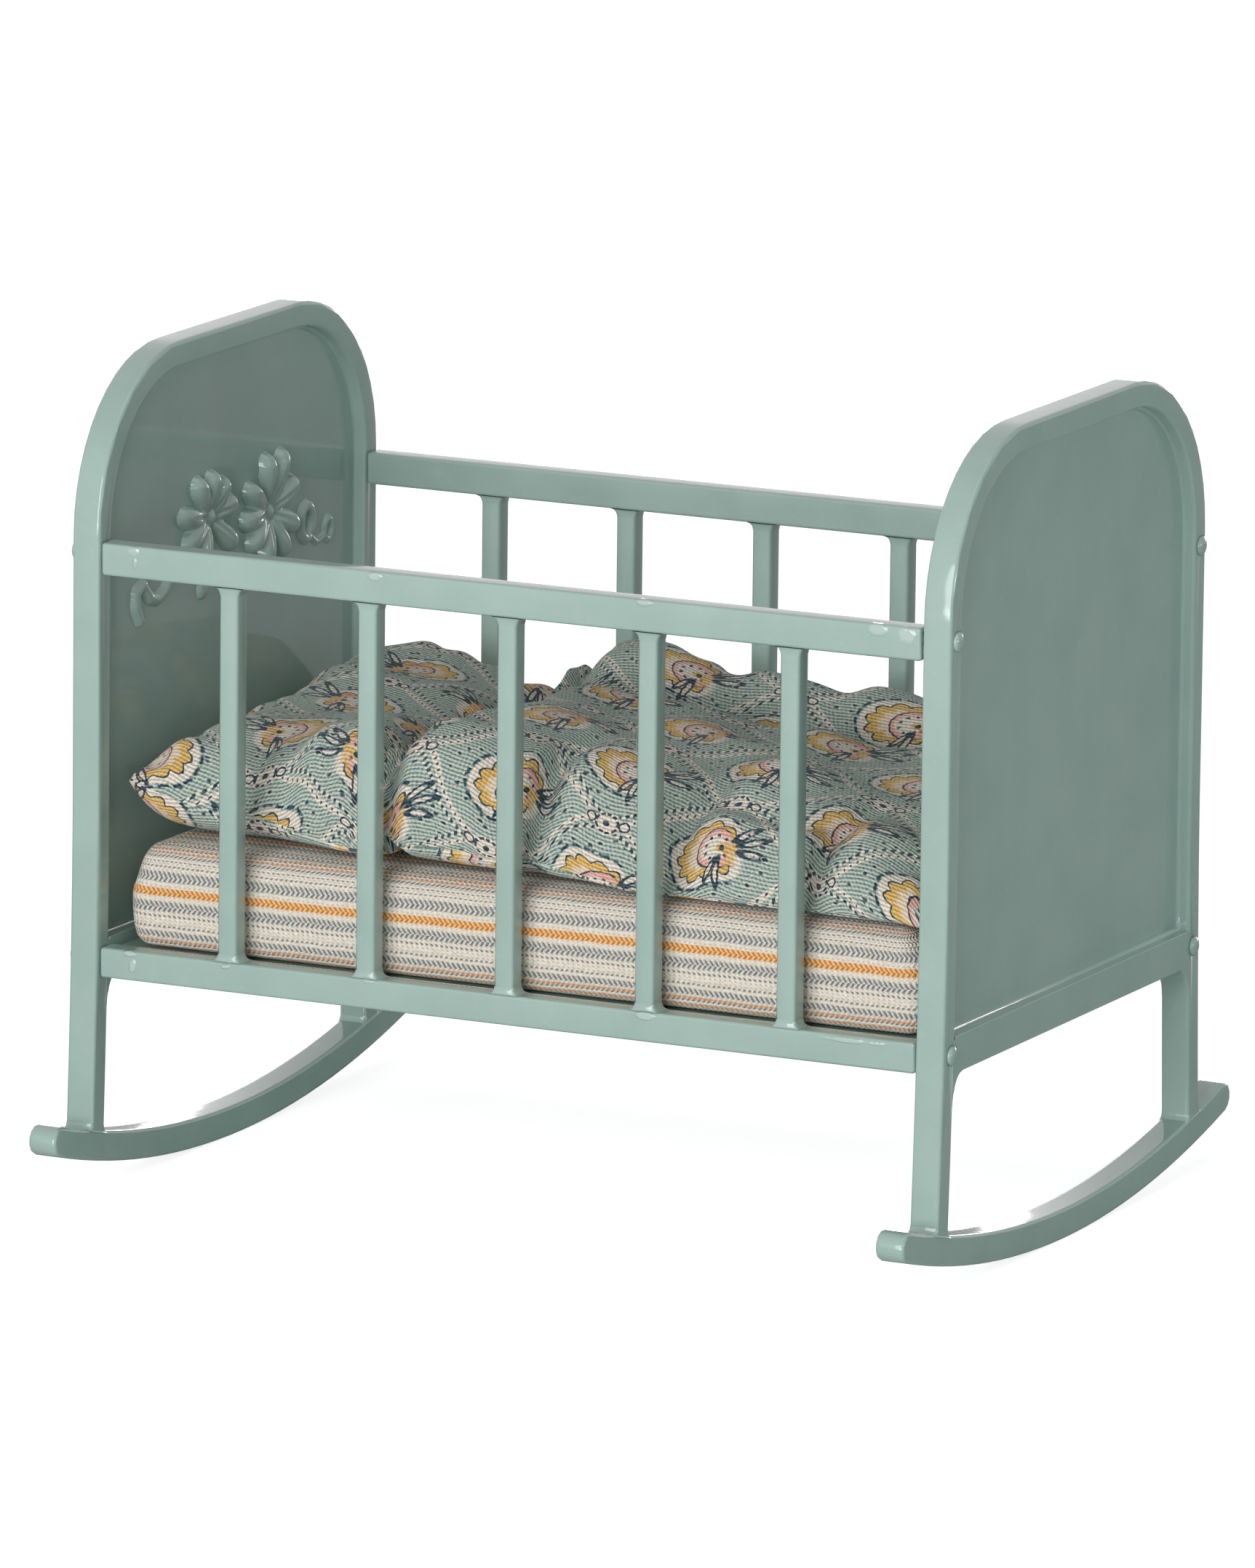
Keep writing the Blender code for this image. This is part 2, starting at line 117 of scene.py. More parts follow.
class Wire:
    """The output of a shader node."""
    def __init__(self, tree, socket):
        self.tree = tree
        self.socket = socket

    def math(self, operation, *others):
        return new_node(self.tree, "Math", 0, dict(enumerate((self, *others))), operation=operation)

    def __add__(self, other): return self.math("ADD", other)
    def __sub__(self, other): return self.math("SUBTRACT", other)
    def __rsub__(self, other): return (self * -1.0) + other
    def __mul__(self, other): return self.math("MULTIPLY", other)
    def __truediv__(self, other): return self.math("DIVIDE", other)
    def __abs__(self): return self.math("ABSOLUTE")
    def sin(self): return self.math("SINE")
    def cos(self): return self.math("COSINE")
    def root(self): return self.math("SQRT")
    def floor(self): return self.math("FLOOR")
    def above_zero(self): return self.ease(-0.0001, 0.0001)
    def most(self, other): return self.math("MAXIMUM", other)
    def angle_of(self, other): return self.math("ARCTAN2", other)
    def hypot(self, other): return (self * self + other * other).root()
    def wave(self, length): return (self * (math.tau / length)).sin()

    def ease(self, low, high):
        """0 below low and 1 above high, or the reverse where low is above high."""
        inputs = {"Value": self, "From Min": min(low, high), "From Max": max(low, high),
                  "To Min": float(low > high), "To Max": float(low <= high)}
        return new_node(self.tree, "MapRange", "Result", inputs, interpolation_type="SMOOTHSTEP")

    def near(self, middle, half, soft):
        """1 within half of middle, with soft edges."""
        return abs(self - middle).ease(half + soft / 2, half - soft / 2)


def plug(tree, value, slot):
    """Link a wire to an input, or set the input to a constant."""
    if isinstance(value, Wire):
        tree.links.new(value.socket, slot)
    else:
        slot.default_value = value


def new_node(tree, kind, output, inputs, **settings):
    """A shader node with its inputs by name or number. Returns the wire of one output."""
    node = tree.nodes.new("ShaderNode" + kind)
    for setting, value in settings.items():
        setattr(node, setting, value)
    for slot, value in inputs.items():
        plug(tree, value, node.inputs[slot])
    return Wire(tree, node.outputs[output])


def blend(share, first, second):
    """Colour between first and second."""
    return new_node(share.tree, "Mix", 2, {0: share, 6: first, 7: second}, data_type="RGBA")


def noise(place, scale, detail):
    return new_node(place.tree, "TexNoise", "Fac", {"Vector": place, "Scale": scale, "Detail": detail})


def object_place(tree):
    return new_node(tree, "TexCoord", "Object", {})


def parts_of(wire):
    """The x, y and z of a vector."""
    node = wire.tree.nodes.new("ShaderNodeSeparateXYZ")
    plug(wire.tree, wire, node.inputs[0])
    return [Wire(wire.tree, out) for out in node.outputs]


def joined(x, y, z=0.0):
    """A vector of three values."""
    return new_node(x.tree, "CombineXYZ", 0, {0: x, 1: y, 2: z})


def bump(height, distance):
    """The normal of a surface that a height shifts by up to a distance."""
    inputs = {"Height": height, "Strength": 1.0, "Distance": distance}
    return new_node(height.tree, "Bump", "Normal", inputs)


def new_material(name, **values):
    """A material with constant shader values, its node tree and its shader."""
    material = bpy.data.materials.new(name)
    material.use_nodes = True
    shader = material.node_tree.nodes["Principled BSDF"]
    for slot, value in values.items():
        shader.inputs[slot.replace("_", " ")].default_value = value
    return material, material.node_tree, shader


# Camera, lights and floor

# Area lights that point at LIT_POINT: name, place, width and height, watts, colour
LIGHTS = (
    ("key", (0.0, -1.28, 0.38), (0.9, 0.75), 12.0, (1.0, 0.985, 0.965)),
    ("front_low", (0.12, -0.75, 0.06), (0.68, 0.1), 0.9, (1.0, 1.0, 1.0)),
    ("fill", (1.15, 0.05, 0.14), (0.5, 0.12), 1.6, (0.80, 1.0, 0.94)),
    ("top", (0.15, -0.05, 1.2), (0.7, 0.7), 1.35, (1.0, 1.0, 1.0)),
    ("back", (-0.25, 1.0, 0.085), (0.95, 0.14), 2.0, (1.0, 1.0, 1.0)),
    ("glint", (0.95, 0.02, 0.62), (0.06, 0.06), 0.32, (1.0, 1.0, 1.0)),
)
LIT_POINT = Vector((0, 0, 0.05))

# World: the kinds of ray that see each shade, its colour and its strength. The first lights the object.
SHADES = (((), (0.94, 1.0, 0.97, 1), 0.12),
          (("Glossy",), (1.0, 0.97, 0.97, 1), 1.0),
          (("Camera", "Transmission"), (1, 1, 1, 1), 1.0))
FLOOR_HALF = 6.0


def add_object(name, data):
    item = bpy.data.objects.new(name, data)
    bpy.context.scene.collection.objects.link(item)
    return item


def make_camera():
    data = bpy.data.cameras.new("camera")
    data.sensor_width = SENSOR
    data.lens = FOCAL_PIXELS * SENSOR / IMAGE_HEIGHT
    data.clip_start = 0.01
    data.clip_end = 50
    camera = add_object("camera", data)
    right = CAMERA_RIGHT.normalized()
    back = -CAMERA_FORWARD.normalized()
    up = back.cross(right)
    turn = Matrix((right, up, back)).transposed().to_4x4()
    camera.matrix_world = Matrix.Translation(CAMERA_PLACE) @ turn
    bpy.context.scene.camera = camera


def add_area(name, place, size, power, colour):
    data = bpy.data.lights.new(name, "AREA")
    data.shape = "RECTANGLE"
    data.size, data.size_y = size
    data.energy = power
    data.color = colour
    light = add_object(name, data)
    light.location = place
    light.rotation_euler = (LIT_POINT - Vector(place)).to_track_quat("-Z", "Y").to_euler()


def seen_rays(tree, *kinds):
    """1 for the named kinds of ray."""
    path = tree.nodes.new("ShaderNodeLightPath")
    seen, *others = [Wire(tree, path.outputs[f"Is {kind} Ray"]) for kind in kinds]
    for ray in others:
        seen = seen.most(ray)
    return seen


def make_world():
    world = bpy.data.worlds.new("studio")
    bpy.context.scene.world = world
    world.use_nodes = True
    tree = world.node_tree
    tree.nodes.clear()
    out = tree.nodes.new("ShaderNodeOutputWorld")
    below = None
    for rays, colour, strength in SHADES:
        shade = tree.nodes.new("ShaderNodeBackground")
        shade.inputs["Color"].default_value = colour
        shade.inputs["Strength"].default_value = strength
        if below:
            mix = tree.nodes.new("ShaderNodeMixShader")
            plug(tree, seen_rays(tree, *rays), mix.inputs["Fac"])
            tree.links.new(below.outputs[0], mix.inputs[1])
            tree.links.new(shade.outputs[0], mix.inputs[2])
            shade = mix
        below = shade
    tree.links.new(below.outputs[0], out.inputs["Surface"])


def make_floor():
    """Matt and pale, seen near white, with the shadow kept."""
    corners = [(FLOOR_HALF * x, FLOOR_HALF * y, 0) for x, y in ((-1, -1), (1, -1), (1, 1), (-1, 1))]
    material, tree, shader = new_material("floor", Base_Color=(0.82, 0.82, 0.81, 1), Roughness=0.9)
    shader.inputs["Specular IOR Level"].default_value = 0.0
    shader.inputs["Emission Color"].default_value = (1, 1, 1, 1)
    x, y, _ = parts_of(object_place(tree))
    away = x.hypot(y)
    seen = seen_rays(tree, "Camera", "Transmission") * (away.ease(0.25, 1.8) * 0.22 + 0.80)
    mirrored = seen_rays(tree, "Glossy") * (away.ease(0.12, 0.3) * 0.1 + away.ease(0.6, 1.8) * 0.5)
    plug(tree, seen.most(mirrored), shader.inputs["Emission Strength"])
    floor = new_piece("floor", corners, [(0, 1, 2, 3)], material, ride=False)


# Pieces

def new_piece(name, points, faces, material, ride=True):
    """A smooth-shaded mesh object."""
    mesh = bpy.data.meshes.new(name)
    mesh.from_pydata([tuple(point) for point in points], [], faces)
    mesh.validate()
    mesh.shade_smooth()
    mesh.materials.append(material)
    item = add_object(name, mesh)
    if ride:
        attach(item, "frame")
    return item


def strip_faces(rows, count, base=0, closed=True, turned=False):
    """Quads between rows of count points each."""
    faces = []
    for row in range(rows - 1):
        start = base + row * count
        for index in range(count if closed else count - 1):
            after = (index + 1) % count
            quad = (start + index, start + after, start + count + after, start + count + index)
            faces.append(quad[::-1] if turned else quad)
    return faces


def smooth_node(node):
    """Shade a CAD node smooth across its facets, with its flats flat."""
    mesh = node.data
    attribute = mesh.attributes.get("custom_normal")
    if attribute:
        mesh.attributes.remove(attribute)
    weld = node.modifiers.new("weld", "WELD")
    weld.merge_threshold = 2e-6
    mesh.shade_smooth()
    weighted = node.modifiers.new("flats", "WEIGHTED_NORMAL")
    weighted.mode = "FACE_AREA"
    weighted.weight = 80


# Pale spots where the paint is rubbed or the spindles are welded, made paler partly as a painted
# highlight on their glossy bumps: x, z, half width, half height in mm
RUBBED_AND_HIGHLIGHT_SPOTS = (
    (-53.8, 85.2, 0.9, 0.8), (-53.5, 83.6, 0.35, 0.7), (-19.0, 85.2, 1.0, 0.55), (19.5, 85.5, 1.1, 0.45),
    (52.4, 85.1, 1.5, 0.8), (56.0, 84.7, 1.2, 1.1), (-54.0, 32.2, 0.9, 0.4), (-53.6, 30.6, 0.5, 0.9),
    (-19.4, 32.4, 0.9, 0.45), (20.2, 32.1, 1.2, 0.5), (50.0, 32.0, 4.5, 0.35), (-40.0, 32.0, 0.6, 0.3),
)
# The pale spots and their painted highlight fade in from these y, so they stay on the front faces
RUBBED_AND_HIGHLIGHT_FRONT = (-0.0380, -0.0384)       # y where the rubbed spots fade in


def make_paint():
    """Glossy grey-green enamel with a faint orange peel, and pale rubbed spots that are partly painted
    highlights.
    """
    material, tree, shader = new_material("green_enamel", Roughness=0.42, Specular_IOR_Level=0.15,
                                          Coat_Weight=1.0, Coat_Roughness=0.07, Coat_IOR=1.5)
    place = object_place(tree)
    x, y, z = parts_of(place)
    cloudy = noise(place, 95.0, 3.0)
    fine = noise(place, 900.0, 2.0)
    peel = noise(place, 420.0, 2.0)
    tone = blend(cloudy.ease(0.3, 0.7), srgb(154, 180, 174), srgb(161, 186, 179))
    tone = blend(fine.ease(0.62, 0.72) * 0.25, tone, srgb(171, 194, 187))
    rubbed_and_highlight = None
    for at_x, at_z, half_x, half_z in RUBBED_AND_HIGHLIGHT_SPOTS:
        across = (x - at_x * MM) * (1 / (half_x * MM))
        up = (z - at_z * MM) * (1 / (half_z * MM))
        spot = (across * across + up * up + (peel - 0.5) * 3.0).ease(1.5, 0.3)
        rubbed_and_highlight = spot if rubbed_and_highlight is None else rubbed_and_highlight.most(spot)
    rubbed_and_highlight = rubbed_and_highlight * y.ease(*RUBBED_AND_HIGHLIGHT_FRONT)
    # Paler tone of the spots: partly rubbed paint, partly a painted highlight
    tone = blend(rubbed_and_highlight * 0.3, tone, srgb(216, 228, 224))
    plug(tree, tone, shader.inputs["Base Color"])
    plug(tree, bump(peel * 0.7 + cloudy * 2.0 + rubbed_and_highlight * 3.0, 0.00004), shader.inputs["Normal"])
    plug(tree, bump(peel * 0.5 + cloudy * 1.6 + rubbed_and_highlight * 3.0, 0.00003), shader.inputs["Coat Normal"])
    return material


make_camera()
for light in LIGHTS:
    add_area(*light)
make_world()
make_floor()
PAINT = make_paint()
for node in NODES.values():
    node.data.materials.clear()
    node.data.materials.append(PAINT)
    smooth_node(node)


# Frame trim: paint fillets and welds

ENDS = (("headboard", -1), ("footboard", 1))
SIDES = (("front", -1), ("rear", 1))
# Height where the legs meet the top of their runner
FOOT = ROCKER_RADIUS - math.sqrt((ROCKER_RADIUS - ROCKER_THICKNESS) ** 2 - HALF_END_WIDTH ** 2)


def leg_flare(z):
    """How far a leg stands out at a height, from its splay."""
    share = max(0.0, (SPLAY_START - z) / (SPLAY_START - FOOT))
    return LEG_SPLAY * share ** SPLAY_POWER


def quarter(steps):
    """Sine and cosine at even steps of a quarter turn."""
    angles = [math.pi / 2 * step / steps for step in range(steps + 1)]
    return [(math.sin(angle), math.cos(angle)) for angle in angles]


def recess_outline(steps=14, leg_steps=8):
    """Inner edge of an end round its panel, as (y, z), anticlockwise seen from +X."""
    half_width = HALF_END_WIDTH - BAR_WIDTH
    radius = CORNER_RADIUS - BAR_WIDTH
    side = []
    for step in range(leg_steps + 1):
        z = CROSSBAR_TOP + (SPLAY_START - CROSSBAR_TOP) * step / leg_steps
        side.append((half_width + leg_flare(z), z))
    for sine, cosine in quarter(steps):
        side.append((half_width - radius + radius * cosine, HEIGHT - CORNER_RADIUS + radius * sine))
    return side + [(-y, z) for y, z in reversed(side)]


def inward(outline):
    """For each point, the mitred step inwards for an inset of 1."""
    heading = np.roll(outline, -1, axis=0) - outline
    heading /= np.linalg.norm(heading, axis=1)[:, None]
    both = np.roll(heading, 1, axis=0) + heading
    both = np.stack([-both[:, 1], both[:, 0]], axis=1)
    return both * 2 / (both ** 2).sum(axis=1)[:, None]


def leg_places():
    """For each leg its name, the middle of its end in X and the sign of its Y."""
    return [(f"{end}_{face}", side * (HALF_LENGTH - BAR_DEPTH / 2), sign)
            for end, side in ENDS for face, sign in SIDES]


def add_panel_fillets(radius=0.4 * MM, steps=5):
    """A concave strip of paint round each side of each panel."""
    outline = np.array(recess_outline())
    step_in = inward(outline)
    for end, end_side in ENDS:
        panel_x = end_side * (HALF_LENGTH - BAR_DEPTH / 2)
        for face_name, side in (("inner", -end_side), ("outer", end_side)):
            points = []
            for sine, cosine in quarter(steps):
                x = panel_x + side * (PANEL_THICKNESS / 2 + radius * (1 - cosine))
                ring = outline + step_in * radius * (1 - sine)
                points += [(x, y, z) for y, z in ring]
            faces = strip_faces(steps + 1, len(outline), turned=side < 0)
            new_piece(f"{end}_panel_{face_name}_fillet", points, faces, PAINT)


def add_collars(name, places, height, spread, steps=5, corner=0.42 * MM):
    """Concave skirts round square posts, each given by its box, its end and the way it opens."""
    points = []
    faces = []
    for (low, high), z, up in places:
        base = len(points)
        for sine, cosine in quarter(steps):
            rise = (1 - cosine) * height * up
            inset = [corner - wide * (1 - sine) for wide in spread]
            reach = [(low[axis] + inset[axis], high[axis] - inset[axis]) for axis in (0, 1)]
            for start, (at_x, at_y) in enumerate(((1, 1), (0, 1), (0, 0), (1, 0))):
                for turn in range(4):
                    theta = math.pi / 2 * (start + turn / 3)
                    points.append((reach[0][at_x] + corner * math.cos(theta),
                                   reach[1][at_y] + corner * math.sin(theta), z + rise))
        faces += strip_faces(steps + 1, (len(points) - base) // (steps + 1), base, turned=up < 0)
    return new_piece(name, points, faces, PAINT)


def add_gusset_welds(wide=3.1 * MM, high=4.2 * MM, round_by=0.42 * MM, steps=9):
    """A smooth skin over each corner between a leg and its crossbar, from below the corner up.

    stations hold the place of its rim as (y, z) and the way that it faces.
    """
    inner = HALF_END_WIDTH - BAR_WIDTH
    stations = []
    for sine, cosine in reversed(quarter(steps)):
        z = CROSSBAR_BOTTOM - high * (1 - cosine)
        normal = Vector((-high * sine, -wide * cosine)).normalized()
        stations.append((Vector((inner + leg_flare(z) - wide * (1 - sine), z)), normal))
    for back, z in ((2.3 * MM, CROSSBAR_BOTTOM + 1.0 * MM), (1.0 * MM, CROSSBAR_BOTTOM + 1.8 * MM),
                    (0.9 * MM, CROSSBAR_TOP - 0.35 * MM)):
        stations.append((Vector((inner + leg_flare(z) - back, z)), Vector((-1, 0))))
    half = BAR_DEPTH / 2 - 0.012 * MM
    for leg, middle_x, sign in leg_places():
        points = []
        for place, normal in stations:
            arc = [(half - round_by * (1 - sine), place - normal * round_by * (1 - cosine))
                   for sine, cosine in quarter(4)]
            arc.append((half, place - normal * (round_by + 0.02 * MM)))
            spine = (half, Vector((inner + leg_flare(place[1]) + 0.9 * MM, place[1])))
            profile = [(-x, at) for x, at in [spine] + arc[::-1]] + arc + [spine]
            points += [(middle_x + x, sign * at[0], at[1]) for x, at in profile]
        faces = strip_faces(len(stations), len(profile), closed=False, turned=sign < 0)
        new_piece(f"{leg}_gusset_weld", points, faces, PAINT)


def add_leg_welds(height=1.1 * MM, spread=(0.08 * MM, 1.1 * MM), sunk=0.3 * MM):
    """Where the legs stand on the runners, whose top slopes there."""
    slope = HALF_END_WIDTH / (ROCKER_RADIUS - FOOT)
    outer = HALF_END_WIDTH + leg_flare(FOOT)
    half = BAR_DEPTH / 2
    for leg, middle_x, sign in leg_places():
        reach_y = sorted((sign * (outer - BAR_WIDTH), sign * outer))
        box = ((middle_x - half, reach_y[0]), (middle_x + half, reach_y[1]))
        item = add_collars(f"{leg}_leg_weld", [(box, FOOT - sunk, 1)], height, spread)
        for vertex in item.data.vertices:
            vertex.co.z += (abs(vertex.co.y) - HALF_END_WIDTH) * slope


def add_spindle_welds(height=1.0 * MM, spread=(0.85 * MM, 0.15 * MM), proud=0.01 * MM, sunk=0.02 * MM):
    """Where the spindles meet their rails."""
    for face, _ in SIDES:
        places = []
        for number in range(1, 6):
            low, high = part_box(f"{face}_spindle_{number}")
            box = ([value - proud for value in low[:2]], [value + proud for value in high[:2]])
            places.append((box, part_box(f"{face}_bottom_rail")[1][2] - sunk, 1))
            places.append((box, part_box(f"{face}_top_rail")[0][2] + sunk, -1))
        add_collars(f"{face}_spindle_welds", places, height, spread)


add_panel_fillets()
add_gusset_welds()
add_leg_welds()
add_spindle_welds()


# Relief on the headboard: two flowers, a bud, a leaf and scrolls

RELIEF_X = -HALF_LENGTH + BAR_DEPTH / 2 + PANEL_THICKNESS / 2
RELIEF_STEP = 0.2               # of its grid, in millimetres as all that follows
RELIEF_SPAN = ((-31, 33), (69, 93))
RELIEF_SUNK = 0.12              # of its rim, in the panel
PETAL_WIDTH = 3.8
CORE = (1.1, 1.0)               # radius and height of the middle of a flower

# Each flower: y, z, height of its petals, and their directions in degrees and lengths
FLOWERS = (
    (-5.9, 83.7, 1.9, ((86, 6.3), (127, 7.2), (172, 8.7), (203, 7.9), (246, 7.6), (-36, 8.4), (10, 6.9),
                       (48, 6.3))),
    (10.6, 81.7, 2.1, ((97, 8.2), (64, 9.0), (24, 8.2), (-21, 8.2), (-55, 8.0), (-100, 7.4), (-144, 7.2),
                       (181, 8.0), (147, 8.0))),
)
# y, z, length, width, angle, height
LEAVES = ((-7.5, 75.6, 5.2, 3.2, -1.75, 1.0), (2.6, 76.4, 3.6, 2.0, -0.9, 0.8))
# y, z, radius along y, radius along z, width of the ridge
RINGS = ((21.5, 78.6, 1.75, 2.2, 0.85), (27.9, 76.7, 1.1, 1.4, 0.55))
# points, and width of the ridge
TAILS = (((-25.2, 73.2), (-26.3, 75.0), (-26.2, 77.0), (-24.4, 77.8), 0.95),
         ((-24.4, 77.8), (-22.4, 75.7), (-20.4, 75.2), (-18.4, 76.0), (-16.2, 78.0), (-13.2, 79.0), 0.9),
         ((22.6, 76.6), (24.6, 75.4), (26.6, 75.9), 0.5))


def petal_height(y, z, centre, angle, length, width, peak):
    """A puffy petal that points outwards from centre, widest near its tip, with a crease along it."""
    along = (y - centre[0]) * math.cos(angle) + (z - centre[1]) * math.sin(angle)
    across = -(y - centre[0]) * math.sin(angle) + (z - centre[1]) * math.cos(angle)
    reach = (along - length * 0.52) / (length * 0.48)
    broad = width / 2 * (0.78 + 0.32 * np.clip(reach, -1, 1))
    inside = 1 - np.abs(reach) ** 2.4 - (across / broad) ** 2
    body = np.sqrt(np.clip(inside, 0, None)) * peak * (0.8 + 0.3 * np.clip(reach, -1, 1))
    crease = 0.22 * peak * np.exp(-(across / 0.3) ** 2) * np.clip(-reach + 0.6, 0, 1)
    return np.where(inside > 0, body - crease * np.clip(inside * 3, 0, 1), 0)


def stroke_height(y, z, path, width):
    """A rounded ridge along a polyline."""
    best = np.full(y.shape, 9.0)
    for (ay, az), (by, bz) in zip(path, path[1:]):
        dy, dz = by - ay, bz - az
        share = np.clip(((y - ay) * dy + (z - az) * dz) / (dy * dy + dz * dz), 0, 1)
        best = np.minimum(best, np.hypot(y - ay - share * dy, z - az - share * dz))
    return np.sqrt(np.clip(1 - (best / width) ** 2, 0, None)) * width * 0.95


def relief_height(y, z):
    height = np.zeros(y.shape)
    for cy, cz, peak, petals in FLOWERS:
        for degrees, length in petals:
            petal = petal_height(y, z, (cy, cz), math.radians(degrees), length, PETAL_WIDTH, peak)
            height = np.maximum(height, petal)
        core = 1 - ((y - cy) ** 2 + (z - cz) ** 2) / CORE[0] ** 2
        height = np.maximum(height, CORE[1] * np.sqrt(np.clip(core, 0, None)))
    for cy, cz, length, width, angle, peak in LEAVES:
        start = (cy - length / 2 * math.cos(angle), cz - length / 2 * math.sin(angle))
        height = np.maximum(height, petal_height(y, z, start, angle, length, width, peak))
    for cy, cz, radius_y, radius_z, width in RINGS:
        angles = 5.6 * np.linspace(0, 1, 28) - 0.6
        path = [(cy + radius_y * math.cos(angle), cz + radius_z * math.sin(angle)) for angle in angles]
        height = np.maximum(height, stroke_height(y, z, path, width))
    for *path, width in TAILS:
        height = np.maximum(height, stroke_height(y, z, path, width))
    return height


def add_relief():
    """One skin over the raised forms, whose rim lies in the panel."""
    y, z = np.meshgrid(*(np.arange(*span, RELIEF_STEP) for span in RELIEF_SPAN), indexing="ij")
    height = relief_height(y, z)
    near = height > 0
    keep = near.copy()
    for dy in (-1, 0, 1):
        for dz in (-1, 0, 1):
            keep |= np.roll(near, (dy, dz), (0, 1))
    soft = height
    for _ in range(2):
        around = sum(np.roll(soft, step, axis) for axis in (0, 1) for step in (1, -1))
        soft = (soft * 4 + around) / 8
    points = []
    index = -np.ones(y.shape, int)
    for i, j in zip(*np.nonzero(keep)):
        index[i, j] = len(points)
        rise = soft[i, j] - (0.0 if near[i, j] else RELIEF_SUNK)
        points.append((RELIEF_X + max(rise, -RELIEF_SUNK) * MM, y[i, j] * MM, z[i, j] * MM))
    quads = np.stack([index[:-1, :-1], index[1:, :-1], index[1:, 1:], index[:-1, 1:]], axis=2)
    faces = [quad for quad in quads.reshape(-1, 4).tolist() if min(quad) >= 0]
    new_piece("headboard_relief", points, faces, PAINT)


add_relief()


# Fabrics

def cloth_coordinates(tree):
    """Distance along X and across it on the flat cloth, in millimetres."""
    along, across, _ = parts_of(new_node(tree, "UVMap", "UV", {}, uv_map="cloth"))
    return along * 1000.0, across * 1000.0


def set_cloth(item, places):
    """The cloth coordinates of a piece, corner by corner of its faces."""
    layer = item.data.uv_layers.new(name="cloth")
    for corner, place in zip(layer.data, places):
        corner.uv = place


CELL = (32.4, 18.2)             # length and width of a cell of the print, in millimetres
ROW_PITCH = 0.54                # of the weft that shows as ribs
TWILL_PITCH = 0.56
BEAD_PITCH = 1.05               # of the dots along the lattice
# Inks between the ribs and on them: pale, navy, ochre, pink, cream
INKS = (((190, 178, 166), (242, 233, 222)), ((22, 40, 54), (62, 84, 96)),
        ((186, 142, 68), (230, 196, 124)), ((208, 142, 134), (236, 190, 180)),
        ((210, 186, 158), (238, 222, 204)))
# Leaves behind a flower's heart: turn, distance of the middle, half length and half width
PRINT_LEAVES = ((0.72, 4.2, (2.0, 0.46)), (0.4, 4.7, (2.1, 0.42)), (0.02, 4.3, (1.8, 0.5)),
                (-1.65, 3.4, (1.9, 0.42)), (-1.98, 3.3, (1.5, 0.34)))


def oval(u, y, place, size, turn=0.0):
    """1 on the edge of an oval and less inside."""
    along = u * math.cos(turn) + y * math.sin(turn) - place
    across = y * math.cos(turn) - u * math.sin(turn)
    return ((along * along) * (1 / size[0] ** 2) + (across * across) * (1 / size[1] ** 2)).root()


